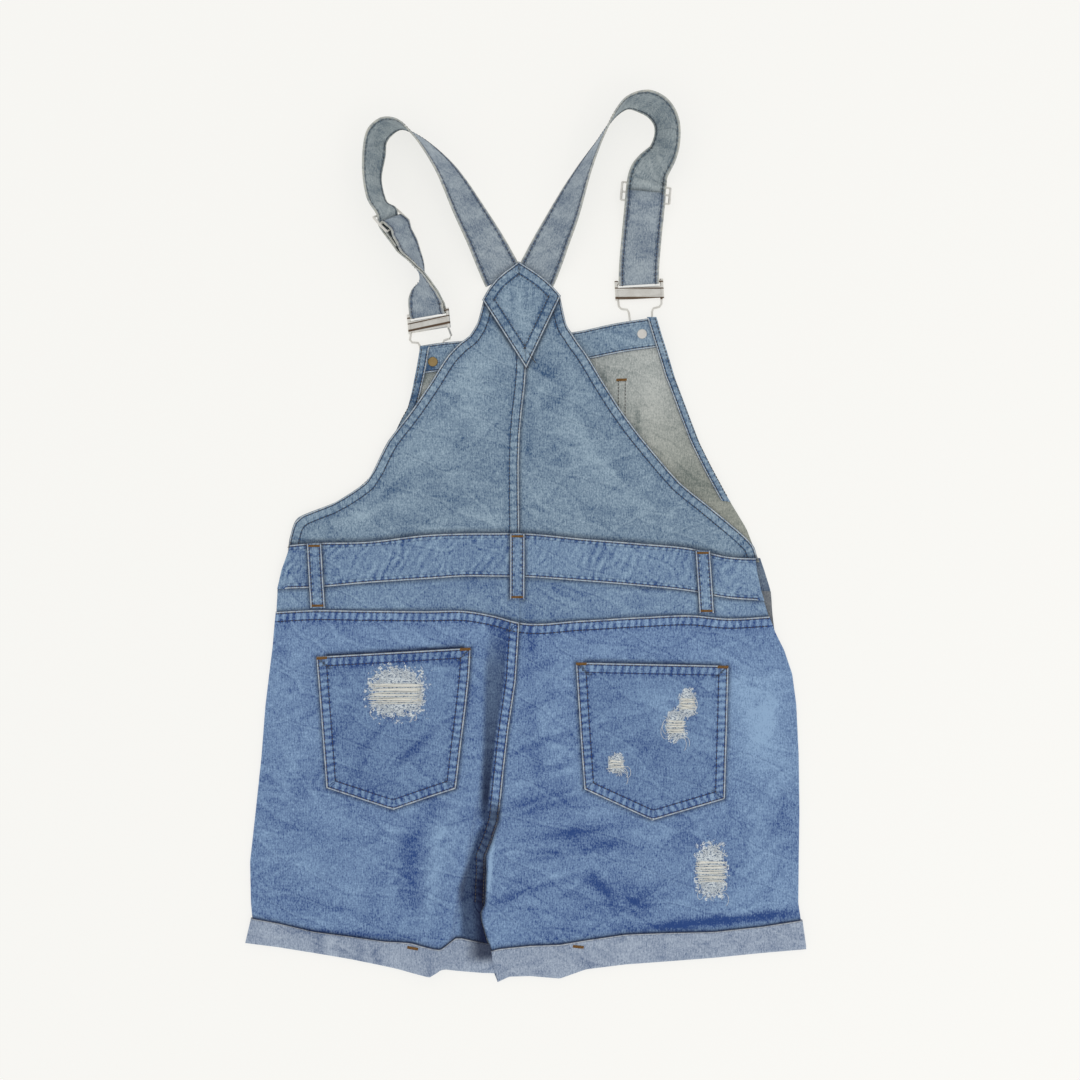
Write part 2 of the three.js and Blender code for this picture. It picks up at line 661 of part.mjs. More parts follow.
// Belt loops run from the waistband's top down over its seam onto the yokes.
const LOOPS = table('name topX topY footX footY',
  ['left', -199.5, -3.4, -196.2, -64.3],
  ['centre', -7.1, 5.7, -7.3, -56.2],
  ['right', 168.2, -10.1, 172.1, -69.2]);
for (const loop of LOOPS) {
  const under = (x, y) => {
    const onBand = smooth(waistBottom(x) - LAP_RISE, waistBottom(x) - 0.5, y);
    return backBase(x, y) + LAYER * (1 + onBand + centreLift(x, y)) + 0.1;
  };
  const bottom = waistBottom(loop.footX);
  const overSeam = [bottom - 0.5, bottom - 3, bottom - LAP_RISE];
  const downs = [loop.topY, loop.topY - 14, loop.topY - 28, ...overSeam, loop.footY];
  const across = loop.name === 'centre' ? [-0.5, -0.36, -0.1, 0.15, 0.5] : [-0.5, 0, 0.5];
  const grid = downs.map((y) => {
    const centre = mix(loop.topX, loop.footX, (y - loop.topY) / (loop.footY - loop.topY));
    return across.map((share) => [centre + share * LOOP_WIDTH, y]);
  });
  addPiece(`belt_loop_${loop.name}`, liftGrid(grid, under), COLOURS.bib);
}

// The diamond patch over the bib's tip and the strap ends.
const DIAMOND = { top: [-5.8, 263.9], left: [-40.5, 227.6], right: [34, 231.5], bottom: [1.3, 161.9] };
const DIAMOND_SWELL = { left: [-2.6, 2.9], right: [1.8, 1.9] };
const STRAP_END_LIFT = 0.5;
const DIAMOND_GAP = 0.4;

function diamond() {
  const steps = spread(8);
  const swell = (share) => Math.sin(Math.PI * share ** 1.2);
  const grid = steps.map((s) => steps.map((t) => [0, 1].map((k) => {
    const flat = mix(mix(DIAMOND.top[k], DIAMOND.left[k], s), mix(DIAMOND.right[k], DIAMOND.bottom[k], s), t);
    return flat + DIAMOND_SWELL.left[k] * swell(s) * (1 - t) + DIAMOND_SWELL.right[k] * swell(t) * (1 - s);
  })));
  const under = (x, y) => {
    const lap = fall(SEAM_LAP + 8, SEAM_LAP + 24, bibSeam(y) - x) * fall(9, 24, x - bibSeam(y));
    return backBase(x, y) + LAYER * (1 + lap) + STRAP_END_LIFT * smooth(200, 225, y) + DIAMOND_GAP;
  };
  return liftGrid(grid, under);
}
addPiece('bib_back_diamond', diamond(), COLOURS.bib);

// The front bib lies on the floor with its inner side up, turned a little to the right.
const FRONT_EDGES = table('leftX leftY rightX rightY',
  [-222, 4, 217.5, -6],
  [-212, 12, 210, 11],
  [-175, 31, 192.1, 40.6],
  [-149, 54, 179.1, 64.6],
  [-133, 80, 166, 90.7],
  [-118.5, 112, 157.2, 113.6],
  [-111.4, 124.2, 147.4, 139.8],
  [-107.3, 138.7, 142.5, 152.5],
  [-104.2, 153.2, 136, 173],
  [-102.6, 161.2, 132.7, 183],
  [-101.2, 169, 129.5, 192.9],
  [-100, 176.3, 126.8, 202],
  [-98.8, 183.5, 124.2, 210.7]);
const FRONT_TOP = table('share rise', [0, 0], [0.06, 0.6], [0.18, 0], [0.66, -4], [0.84, -1], [1, 0]);
const frontTopRise = reader(FRONT_TOP, 'share', 'rise');
const BIB_POCKET = { left: -60, right: 97, top: 152, bottom: 30 };

// The front bib lies over its own pocket and over the front waistband.
const frontBibUnder = (x, y) => LAYER + cornerLift(x, y);

const FRONT_SHARES = [0, 0.04, 0.09, 0.16, 0.24, 0.33, 0.42, 0.51, 0.6, 0.68, 0.76, 0.84, 0.9, 0.96, 1];

function frontBibGrid(edges, shares, rise = 0) {
  return edges.map((edge, i) => shares.map((share) => [
    mix(edge.leftX, edge.rightX, share),
    mix(edge.leftY, edge.rightY, share) + (i === edges.length - 1 ? frontTopRise(share) : 0) + rise,
  ]));
}

const drill = (geometry, holes) => fromManifold(
  holes.reduce((body, hole) => body.subtract(toManifold(hole)), toManifold(geometry)));

function postHole(button) {
  const hole = new THREE.CylinderGeometry(3, 3, 30, 12);
  hole.rotateX(Math.PI / 2);
  hole.translate(button.x, button.y, 5);
  return hole;
}

const frontSheet = liftGrid(frontBibGrid(FRONT_EDGES, FRONT_SHARES), frontBibUnder);
addPiece('bib_front', drill(frontSheet, BUTTONS.map(postHole)), COLOURS.inside);

// The blue band along the front bib's top and the facings down its sides, on its inner side.
const frontTop = FRONT_EDGES[FRONT_EDGES.length - 1];

function belowFrontTop(depth) {
  const [leftY, rightY] = [frontTop.leftY - depth, frontTop.rightY - depth];
  const leftX = reader(FRONT_EDGES, 'leftY', 'leftX')(leftY);
  const rightX = reader(FRONT_EDGES, 'rightY', 'rightX')(rightY);
  return { leftX, leftY, rightX, rightY };
}

const bandGrid = [1, 0.5, 0].map((down) => {
  const edge = belowFrontTop(BAND_HEIGHT * down);
  return FRONT_SHARES.map((share) => [
    mix(edge.leftX, edge.rightX, share),
    mix(edge.leftY, edge.rightY, share) + frontTopRise(share),
  ]);
});
const bandUnder = (x, y) => frontBibUnder(x, y) + LAYER;
addPiece('bib_top_band', drill(liftGrid(bandGrid, bandUnder), BUTTONS.map(postHole)), COLOURS.bib);

const FACING_ENDS = 36;
const FACING_GAP = 0.35;
const BAND_CLEAR = 4;
const FACING_SLANT = { rise: 1.375, ends: 150 };

function facing(side) {
  const inward = side === 'left' ? 1 : -1;
  const edge = reader(FRONT_EDGES, `${side}Y`, `${side}X`);
  const topY = frontTop[`${side}Y`];
  const bandFoot = topY - BAND_HEIGHT;
  const climb = [bandFoot - BAND_CLEAR - 5, bandFoot - BAND_CLEAR];
  const ys = [FACING_ENDS, 50, 70, 90, 112, 132, 148, ...climb, bandFoot + 12, topY - 7, topY];
  const lift = (y) => LAYER * (1 + smooth(climb[0], climb[1], y)) + FACING_GAP;
  const grid = ys.map((y) => [0, 0.5, 1].map((share) => [
    edge(y) + inward * share * FACING_WIDTH,
    y + (y < FACING_SLANT.ends ? FACING_SLANT.rise * share : 0),
  ]));
  const raised = (extra) => grid.map((row, i) => row.map(([x, y]) => (
    new THREE.Vector3(x, y, frontBibUnder(x, ys[i]) + lift(ys[i]) + extra))));
  return build(raised(CLOTH), raised(0));
}
for (const side of LEG_SIDES) addPiece(`bib_side_facing_${side}`, facing(side), COLOURS.bib);

// The pocket on the outer side of the front bib, between it and the floor.
const pocketRows = [BIB_POCKET.bottom, (BIB_POCKET.bottom + BIB_POCKET.top) / 2, BIB_POCKET.top];
const pocketXs = spread(6).map((share) => mix(BIB_POCKET.left, BIB_POCKET.right, share));
addPiece('bib_pocket', liftGrid(pocketRows.map((y) => pocketXs.map((x) => [x, y])), () => 0), COLOURS.inside);

// The front waistband lies flat on the floor and shows past the back at the side opening.
function waistFront() {
  const grid = spread(3).map((down) => {
    const yAt = (x) => mix(waistTop(x), waistBottom(x), down);
    const [left, right] = [leftSide(yAt(-230)) + 0.3, rightSide(yAt(230))];
    return spread(12).map((share) => mix(left, right, share)).map((x) => [x, yAt(x)]);
  });
  return liftGrid(grid, () => 0);
}
addPiece('waistband_front', waistFront(), COLOURS.inside);

// Straps. Each runs along a spine that is tabled as it lies, with its roll in degrees: 0 with the
// outer face up, 90 on its outer edge, 180 with the inner face up.
const SPINES = {
  left: table('x y roll lift',
    [-20.2, 248.4, 0, 0.9],
    [-21.5, 251, 0, 0.9],
    [-27, 262, 12, 0.6],
    [-39, 286, 28, 0],
    [-51.5, 308.5, 38, 0],
    [-73.5, 347.5, 58, 0],
    [-92.5, 371, 72, 0],
    [-104, 381.5, 80, 0],
    [-117, 390, 90, 0],
    [-130, 388.5, 106, 0],
    [-139, 379.5, 114, 0],
    [-141.5, 366, 118, 0],
    [-143.5, 342, 112, 1],
    [-138.5, 318.5, 114, 4],
    [-129, 300, 122, 4.5],
    [-112, 275.5, 120, 2],
    [-99.5, 252, 94, 2],
    [-95, 233, 50, 5],
    [-93.4, 221, 29, 6],
    [-92.7, 213.5, 28, 6],
    [-91.9, 205, 28, 6]),
  right: table('x y roll lift',
    [9.5, 248.1, 0, 0.9],
    [11.5, 252.5, 0, 0.9],
    [16.5, 263, 12, 0.6],
    [26.5, 285, 28, 0],
    [35.5, 304, 38, 0],
    [54, 345.5, 64, 0],
    [70, 375.5, 80, 0],
    [87, 403, 90, 0],
    [98, 411.5, 96, 0],
    [113, 412, 112, 0],
    [125, 406, 118, 0],
    [132.5, 395, 121, 0],
    [134, 380.5, 127, 0],
    [129.5, 364, 138, 0],
    [119.5, 350, 160, 0],
    [116, 341, 180, 0],
    [114.6, 331, 180, 0],
    [113.7, 320, 180, 0],
    [110.5, 286, 180, 0],
    [108.2, 258, 180, 0],
    [108, 244.6, 180, 0],
    [108.6, 236, 180, 0]),
};
const SPINE_STEP = 1;
const TO_OUTSIDE = { left: -1, right: 1 };

// A spine is a smooth curve through its table, measured by its real length. Its frame at a length
// s is: the place, the way along, the way across the strap, and the way out of its inner face.
function strapFrame(side) {
  const rows = SPINES[side];
  const through = (points) => new THREE.CatmullRomCurve3(points, false, 'centripetal');
  const curve = through(rows.map((r) => new THREE.Vector3(r.x, r.y, 0)));
  const twist = through(rows.map((r, i) => new THREE.Vector3(i, r.roll, r.lift)));
  const half = STRAP_WIDTH / 2;
  const point = (share) => {
    const flat = curve.getPoint(share);
    const turn = twist.getPoint(share);
    const roll = THREE.MathUtils.degToRad(turn.y);
    flat.z = turn.z + half * Math.abs(Math.sin(roll)) + (STRAP_THICK / 2) * Math.abs(Math.cos(roll));
    return { flat, roll };
  };
  const count = 600;
  const samples = spread(count).map(point);
  let length = 0;
  samples.forEach((sample, i) => {
    length += i ? sample.flat.distanceTo(samples[i - 1].flat) : 0;
    sample.s = length;
  });
  const at = (s) => {
    const wanted = THREE.MathUtils.clamp(s, 0, length);
    let i = samples.findIndex((sample) => sample.s >= wanted);
    i = THREE.MathUtils.clamp(i, 1, count - 1);
    const [a, b] = [samples[i - 1], samples[i]];
    const share = (wanted - a.s) / (b.s - a.s);
    const place = a.flat.clone().lerp(b.flat, share);
    const roll = mix(a.roll, b.roll, share);
    const [before, after] = [samples[Math.max(i - 4, 0)], samples[Math.min(i + 4, count)]];
    const along = after.flat.clone().sub(before.flat).normalize();
    const level = new THREE.Vector3(along.x, along.y, 0).normalize();
    const outside = new THREE.Vector3(level.y, -level.x, 0).multiplyScalar(-TO_OUTSIDE[side]);
    const across = outside.clone().multiplyScalar(Math.cos(roll));
    across.z = -Math.sin(roll);
    across.addScaledVector(along, -across.dot(along)).normalize();
    const inward = outside.clone().multiplyScalar(-Math.sin(roll));
    inward.z = -Math.cos(roll);
    inward.addScaledVector(along, -inward.dot(along));
    inward.addScaledVector(across, -inward.dot(across)).normalize();
    return { place, along, across, inward };
  };
  return { at, length };
}

// Where the hardware stands on a strap, as lengths back from the buckle's bar.
const FITTINGS = {
  left: { pastBar: 8.5, slider: 95 },
  right: { pastBar: 8.6, slider: 84 },
};
const SLIDER = { pitch: 8.5, topBar: 1.9, tail: 26, width: 46 };
const WRAP = BUCKLE_BAR / 2 + GAP + STRAP_THICK / 2;
const SLIDER_WRAP = SLIDER_WIRE / 2 + GAP + STRAP_THICK / 2;
const PLY = STRAP_THICK + GAP + 0.1;
const SLIDER_BARS = {
  top: SLIDER.topBar,
  middle: PLY + SLIDER_WRAP,
};
SLIDER_BARS.bottom = 2 * SLIDER_BARS.middle - SLIDER_BARS.top;

// The strap's way as lengths s along the spine and offsets o from it toward the inner face: down
// over the slider's top bar, under its middle bar, round the buckle's bar and back up to the
// slider's middle bar, round that, and down a short tail.
function strapWay(side, frame) {
  const bar = frame.length - FITTINGS[side].pastBar;
  const middle = bar - FITTINGS[side].slider;
  const top = middle - SLIDER.pitch;
  const bottom = middle + SLIDER.pitch;
  const way = [];
  const hump = SLIDER_BARS.top + SLIDER_WRAP + GAP;
  for (let i = 0; i <= MAIN_STEPS; i += 1) {
    const s = (i / MAIN_STEPS) * (top - 14);
    way.push([s, 0]);
  }
  const over = [[-9, 0.35], [-5, 0.8], [-1.5, 1], [1.5, 0.97], [4, 0.55], [6.5, 0.1]];
  way.push(...over.map(([ds, share]) => [top + ds, hump * share]));
  for (let s = middle + 3; s < bar - 4; s += 11) way.push([s, 0]);
  turnBack(way, bar, WRAP, -WRAP, 7);
  const aboveTail = 2 * PLY;
  way.push([bar - 8, mix(2 * WRAP, PLY, 0.6)], [bar - 15, PLY + 0.1]);
  const tailEnd = middle + SLIDER.tail;
  for (let s = bar - 26; s > tailEnd + 9; s -= 11) way.push([s, PLY]);
  way.push([tailEnd + 6, PLY + 0.6], [tailEnd - 1, aboveTail + 0.2], [bottom + 6, aboveTail + 1.6]);
  const overBottom = SLIDER_BARS.bottom + SLIDER_WRAP;
  way.push([bottom + 2.5, overBottom - 0.2], [bottom - 1, overBottom + 0.25]);
  way.push([bottom - 5, mix(SLIDER_BARS.bottom, SLIDER_BARS.middle, 0.6) + SLIDER_WRAP]);
  turnBack(way, middle, SLIDER_BARS.middle, SLIDER_WRAP, 6);
  way.push([middle + 8, PLY], [middle + 16, PLY], [tailEnd, PLY]);
  return { way, bar, middle, top, bottom };
}

const MAIN_STEPS = 42;
const STRAP_ROOT = { share: 0.5, length: 16 };

// Half a turn round a bar at s. A radius below 0 goes round its far side.
function turnBack(way, s, centre, radius, steps) {
  for (let i = 0; i <= steps; i += 1) {
    const angle = (Math.PI * i) / steps;
    way.push([s - radius * Math.sin(angle), centre + radius * Math.cos(angle)]);
  }
}

// A flat strap along a way: four-cornered sections square to it.
function ribbon(frame, way, width, thick) {
  const sections = way.map(([s, o], i) => {
    const [before, after] = [way[Math.max(i - 1, 0)], way[Math.min(i + 1, way.length - 1)]];
    const run = new THREE.Vector2(after[0] - before[0], after[1] - before[1]).normalize();
    const { place, along, across, inward } = frame.at(s);
    const middle = place.clone().addScaledVector(inward, o);
    const normal = along.clone().multiplyScalar(-run.y).addScaledVector(inward, run.x);
    const innerShare = mix(STRAP_ROOT.share, 1, smooth(0, STRAP_ROOT.length, s));
    const corner = (u, v) => {
      const reach = (u > 0 ? innerShare * u : u) * width / 2;
      return middle.clone().addScaledVector(across, reach).addScaledVector(normal, v * thick / 2);
    };
    return [corner(-1, -1), corner(1, -1), corner(1, 1), corner(-1, 1)];
  });
  return tube(sections);
}

// A closed tube through rings of points, with flat ends.
function tube(rings) {
  const sides = rings[0].length;
  const points = rings.flat();
  const faces = [];
  for (let r = 0; r < rings.length - 1; r += 1) {
    for (let c = 0; c < sides; c += 1) {
      const [a, b] = [r * sides + c, r * sides + ((c + 1) % sides)];
      faces.push(a, b, b + sides, a, b + sides, a + sides);
    }
  }
  const last = (rings.length - 1) * sides;
  for (let c = 1; c < sides - 1; c += 1) {
    faces.push(0, c + 1, c);
    faces.push(last, last + c, last + c + 1);
  }
  return solid(points, faces);
}

// A round wire along points, mitred at its bends.
function wire(points, diameter, sides = 6) {
  const rings = points.map((point, i) => {
    const before = points[Math.max(i - 1, 0)];
    const after = points[Math.min(i + 1, points.length - 1)];
    const along = after.clone().sub(before).normalize();
    const helper = Math.abs(along.z) > 0.9 ? new THREE.Vector3(1, 0, 0) : new THREE.Vector3(0, 0, 1);
    const u = new THREE.Vector3().crossVectors(along, helper).normalize();
    const v = new THREE.Vector3().crossVectors(along, u);
    return spread(sides).slice(0, -1).map((share) => {
      const angle = share * Math.PI * 2;
      const [right, up] = [Math.cos(angle) * diameter / 2, Math.sin(angle) * diameter / 2];
      return point.clone().addScaledVector(u, right).addScaledVector(v, up);
    });
  });
  return tube(rings);
}

const frames = {};
for (const side of LEG_SIDES) {
  const frame = strapFrame(side);
  const { way, bar, middle, top, bottom } = strapWay(side, frame);
  frames[side] = { frame, bar };
  addPiece(`strap_${side}`, ribbon(frame, way, STRAP_WIDTH, STRAP_THICK), COLOURS.strap);
  const spot = (s, o, u) => {
    const { place, across, inward } = frame.at(s);
    return place.clone().addScaledVector(inward, o).addScaledVector(across, u);
  };
  const half = SLIDER.width / 2;
  const levels = [[top, SLIDER_BARS.top], [middle, SLIDER_BARS.middle], [bottom, SLIDER_BARS.bottom]];
  const bars = levels.map(([s, o]) => wire([spot(s, o, -half), spot(s, o, half)], SLIDER_WIRE));
  const rails = [-half, half].map((u) => wire(levels.map(([s, o]) => spot(s, o, u)), SLIDER_WIRE * 1.15));
  addPiece(`slider_${side}`, join([...bars, ...rails]), COLOURS.steel, true);
}

// Buckles. Their outline is tabled across and along from the strap's bar; the hook ends round the
// button's post under the bib.
const BUCKLE = { half: 21.5, second: 6, third: 14.5, railEnd: 16.5, plate: 0.9 };
const HOOK = table('across along',
  [20.6, 16],
  [20.2, 22],
  [18, 24.6],
  [12.4, 25.6],
  [11, 28.5],
  [10.4, 37],
  [8.2, 43],
  [5, 49]);
const HOOK_END = { radius: 5, along: 49 };
const BIB_EDGE = { left: 26, right: 34 };
const BUTTON = { head: 17, headThick: 1.5, post: 5, tack: 9.5, tackThick: 1, bevel: 0.4 };
const RAIL_GROWN = 1.1;
const HOOK_HEIGHT = 3.05;

function buckle(side) {
  const { frame, bar } = frames[side];
  const start = frame.at(bar);
  const centre = start.place.clone().addScaledVector(start.inward, WRAP);
  const button = BUTTONS.find((b) => b.name === side);
  const toButton = new THREE.Vector3(button.x - centre.x, button.y - centre.y, 0);
  toButton.normalize();
  const level = new THREE.Vector3(-toButton.y, toButton.x, 0);
  const tilt = Math.asin(THREE.MathUtils.clamp(-start.across.z, -1, 1));
  const place = (u, v, up = 0) => {
    const share = smooth(BUCKLE.railEnd, BIB_EDGE[side], v);
    const roll = tilt * (1 - share);
    const z = mix(centre.z, HOOK_HEIGHT, share);
    const at = new THREE.Vector3(centre.x, centre.y, z).addScaledVector(toButton, v);
    at.addScaledVector(level, u * Math.cos(roll));
    at.z += u * Math.sin(roll) + up * Math.cos(roll);
    return at.addScaledVector(level, -up * Math.sin(roll));
  };
  const { half, second, third, railEnd } = BUCKLE;
  const bars = [0, second, third].map((v) => wire([place(-half, v), place(half, v)], BUCKLE_BAR));
  const railPoints = (u) => [-2, railEnd / 2, railEnd].map((v) => place(u, v));
  const rails = [-half, half].map((u) => wire(railPoints(u), BUCKLE_BAR * RAIL_GROWN));
  const plateRows = spread(4).map((share) => mix(second, third, share));
  const plateShares = spread(6).map((share) => mix(-half, half, share));
  const plate = (up) => plateRows.map((v) => plateShares.map((u) => {
    const crown = 0.9 * (1 - ((v - second) / (third - second) * 2 - 1) ** 2) * (1 - (u / half) ** 2);
    return place(u, v, up + crown - 0.4);
  }));
  const sheet = build(plate(BUCKLE.plate), plate(0));
  const left = HOOK.map((row) => place(-row.across, row.along));
  const round = spread(6).slice(1, -1).map((share) => {
    const angle = Math.PI * share;
    return place(-HOOK_END.radius * Math.cos(angle), HOOK_END.along + HOOK_END.radius * Math.sin(angle));
  });
  const right = HOOK.map((row) => place(row.across, row.along)).reverse();
  const hook = wire([...left, ...round, ...right], WIRE);
  return join([...bars, ...rails, sheet, hook]);
}

// A bib button: its head under the bib, its post through it, and its small tack on top.
function bibButton(button) {
  const top = CORNER.lift + LAYER + LAYER + CLOTH + GAP;
  const radii = [BUTTON.head / 2, BUTTON.post / 2, BUTTON.tack / 2];
  const { headThick, tackThick, bevel } = BUTTON;
  const head = [[0, 0], [radii[0] - bevel, 0], [radii[0], headThick / 2], [radii[0] - bevel, headThick]];
  const post = [[radii[1], headThick], [radii[1], top]];
  const tack = [[radii[2], top], [radii[2] - bevel, top + tackThick * 0.7], [0, top + tackThick]];
  const profile = [...head, ...post, ...tack];
  const turned = new THREE.LatheGeometry(profile.map(([r, z]) => new THREE.Vector2(r, z)), 16);
  turned.rotateX(Math.PI / 2);
  turned.translate(button.x, button.y, 0);
  return fromManifold(toManifold(turned));
}

for (const button of BUTTONS) {
  addPiece(`buckle_${button.name}`, buckle(button.name), COLOURS.steel, true);
  const finish = button.name === 'left' ? COLOURS.brass : COLOURS.steel;
  addPiece(`bib_button_${button.name}`, bibButton(button), finish, true);
}

export default shortalls;
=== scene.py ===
"""Denim shortalls laid flat with the back up.

The tables and heights are in millimetres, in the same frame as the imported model: +X to the
right and +Y towards the straps in the picture, +Z up from the floor. MM turns them into metres.
"""

import bpy
import numpy as np
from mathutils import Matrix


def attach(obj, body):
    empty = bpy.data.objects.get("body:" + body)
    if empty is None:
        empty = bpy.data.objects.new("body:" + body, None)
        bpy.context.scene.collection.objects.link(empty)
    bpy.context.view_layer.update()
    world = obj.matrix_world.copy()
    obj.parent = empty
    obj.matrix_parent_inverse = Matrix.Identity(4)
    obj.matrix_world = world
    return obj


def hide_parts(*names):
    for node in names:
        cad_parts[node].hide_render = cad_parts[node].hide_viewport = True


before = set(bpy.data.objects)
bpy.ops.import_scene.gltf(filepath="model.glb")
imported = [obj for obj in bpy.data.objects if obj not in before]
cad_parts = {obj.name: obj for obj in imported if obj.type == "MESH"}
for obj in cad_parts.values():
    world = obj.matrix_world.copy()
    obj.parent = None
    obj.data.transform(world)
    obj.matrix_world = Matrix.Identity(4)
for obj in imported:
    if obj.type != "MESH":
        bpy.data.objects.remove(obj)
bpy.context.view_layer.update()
MM = 0.001

# Sizes that are the same as the model's.
CLOTH = 1.2
GAP = 0.3
LAYER = CLOTH + GAP
SEAM_LAP = 9.0
LAP_RISE = 6.0
SIDE_ROUND = 4.0
BACK_LEVEL = 3.2
SEAM_SLACK = 0.25
HEM_RISE = 12.0
HEM_INSET = CLOTH + GAP + 0.6
HEM_BACK_LIFT = 0.5
CUFF_SLACK = 0.15
LOOP_WIDTH = 14.0
BAND_HEIGHT = 27.5
FACING_WIDTH = 9.0
POCKET_GAP = 0.6
DIAMOND_GAP = 0.4
STRAP_END_LIFT = 0.5
STRAP_WIDTH = 38.0
STRAP_THICK = 1.6
WAISTBAND = 41.0
WAIST_LENGTH = 450.0

# The length of a grid's cell, and the turn past which a mesh's edge is sharp, in degrees.
CELL = 2.5
SHARP_TURN = 50.0

# Distances in mm from a cut edge: the last points of a plain edge, of one sewn with a single row
# and of one sewn with two, and where the two rows run at an edge and at a lapped seam.
EDGE_STEPS = (0.3, 0.9)
ROW_STEPS = (0.3, 0.9, 1.9, 3.0)
SEAM_STEPS = (0.3, 0.9, 1.9, 3.0, 5.5, 8.2, 9.3, 10.4, 12.0)
TWIN_ROWS = (1.9, 9.3)
LAPPED_ROWS = (1.7, 9.0)


def table(names, *rows):
    """Columns by name."""
    return dict(zip(names.split(), np.array(rows, float).T))


def reader(rows, key, column):
    """Straight lines between the rows of a table: column as a function of key."""
    order = np.argsort(rows[key])
    return lambda at: np.interp(at, rows[key][order], rows[column][order])


def curve(rows, key, column):
    """A smooth line through the rows of a table: a cubic between each two rows, whose slopes
    there are those of the rows around."""
    order = np.argsort(rows[key])
    k, v = rows[key][order], rows[column][order]
    slopes = np.gradient(v, k)

    def at(where):
        where = np.clip(where, k[0], k[-1])
        i = np.clip(np.searchsorted(k, where) - 1, 0, len(k) - 2)
        run = k[i + 1] - k[i]
        t = (where - k[i]) / run
        start = (1 + 2 * t) * (1 - t) ** 2 * v[i] + t * (1 - t) ** 2 * run * slopes[i]
        end = t * t * (3 - 2 * t) * v[i + 1] + t * t * (t - 1) * run * slopes[i + 1]
        return start + end

    return at


def mix(a, b, share):
    """a where share is 0 and b where it is 1: a + (b − a) · share."""
    return a + (b - a) * share


def unit(vectors):
    """Each vector divided by its length."""
    return vectors / np.linalg.norm(vectors, axis=-1, keepdims=True)


def smooth(start, end, at):
    """0 at start, 1 at end, with no slope at either: t²(3 − 2t)."""
    t = np.clip((at - start) / (end - start), 0, 1)
    return t * t * (3 - 2 * t)


def fall(start, end, at):
    """1 at start, 0 at end: 1 − smooth."""
    return 1 - smooth(start, end, at)


def noise(x, y, seed):
    """Smooth values from 0 to 1 on a grid of whole numbers, each corner a fixed random value
    and the rest blended with t²(3 − 2t) both ways."""
    values = np.random.RandomState(seed).rand(64, 64)
    i, j = np.floor(x).astype(int), np.floor(y).astype(int)
    u, v = x - i, y - j
    u, v = u * u * (3 - 2 * u), v * v * (3 - 2 * v)
    corner = lambda a, b: values[(i + a) % 64, (j + b) % 64]
    low = corner(0, 0) * (1 - u) + corner(1, 0) * u
    high = corner(0, 1) * (1 - u) + corner(1, 1) * u
    return low * (1 - v) + high * v


# The seams across the garment, as heights in the picture at each x.
ACROSS = table(
    "x waist_top waist_bottom yoke",
    [-236, -6, -46.5, -68],
    [-205, -3, -45.6, -66.3],
    [-149, -1.4, -40.9, -66.8],
    [-92, 5.1, -37.1, -67.2],
    [-55, 6.5, -34.7, -67.2],
    [-30, 6.6, -34.9, -71.5],
    [-5, 6.7, -35.2, -78],
    [54, 1.5, -39.1, -76],
    [112, -3.3, -44, -72.7],
    [160, -8.2, -49.3, -71.2],
    [190, -15.3, -55, -74.1],
    [235, -17.5, -58, -72],
)
waist_top = curve(ACROSS, "x", "waist_top")
waist_bottom = curve(ACROSS, "x", "waist_bottom")
yoke_line = curve(ACROSS, "x", "yoke")

SIDES = table(
    "y left right flap",
    [6, -219, 216, 214],
    [-12, -224.5, 221.5, 218],
    [-28, -230.5, 227, 219.5],
    [-47, -234.8, 233, 223.5],
    [-71, -236.2, 235, 231],
    [-87, -238, 237, 237],
    [-104, -239.8, 245.8, 245.8],
    [-127, -242.7, 253.5, 253.5],
    [-156, -246.2, 257.4, 257.4],
    [-205, -250, 259.7, 259.7],
    [-260, -255.8, 260.4, 260.4],
    [-306, -260.8, 259.7, 259.7],
    [-345, -260, 259.3, 259.3],
    [-360, -258.4, 261.4, 261.4],
    [-386, -264.4, 265.1, 265.1],
)
left_side = reader(SIDES, "y", "left")
right_side = reader(SIDES, "y", "right")
flap_side = reader(SIDES, "y", "flap")

CENTRE = table(
    "y left right",
    [162, 1.3, -7.7],
    [104, -4.5, -13.5],
    [6, -5.2, -14.2],
    [-78, -5, -14],
    [-134, -8.6, -17.6],
    [-180, -15.5, -24.5],
    [-219, -20, -29],
    [-265, -24.7, -33.7],
    [-285, -31, -38],
    [-300, -37.2, -36.9],
    [-314, -37, -36.7],
    [-346, -38.3, -38],
    [-353, -42, -41.7],
    [-362, -41.2, -40.9],
    [-378, -36.6, -36.2],
    [-391, -31.8, -31.4],
    [-405, -30.3, -29.9],
    [-420, -23, -22.6],
)
left_inner = reader(CENTRE, "y", "left")
right_inner = reader(CENTRE, "y", "right")

CUFF_LEFT = table(
    "x top bottom",
    [-266, -357, -382],
    [-234, -362.8, -386],
    [-200, -370.9, -391.5],
    [-165, -375.5, -397.4],
    [-133, -380.1, -404],
    [-107, -381.2, -409.5],
    [-90, -384.5, -412.8],
    [-80, -385.9, -406.6],
    [-64, -376, -408.5],
    [-38, -381.6, -410.6],
    [-26, -384, -410.7],
)
CUFF_RIGHT = table(
    "x top bottom",
    [-34, -390, -404],
    [-26, -387.3, -419.3],
    [-15, -386, -414],
    [5, -384, -413.4],
    [33, -383, -415.8],
    [58, -378.8, -407],
    [95, -373.4, -402.4],
    [132, -372, -399.7],
    [178, -371, -396.2],
    [224, -366, -391.6],
    [266, -359.5, -388],
)
CUFFS = {"left": CUFF_LEFT, "right": CUFF_RIGHT}

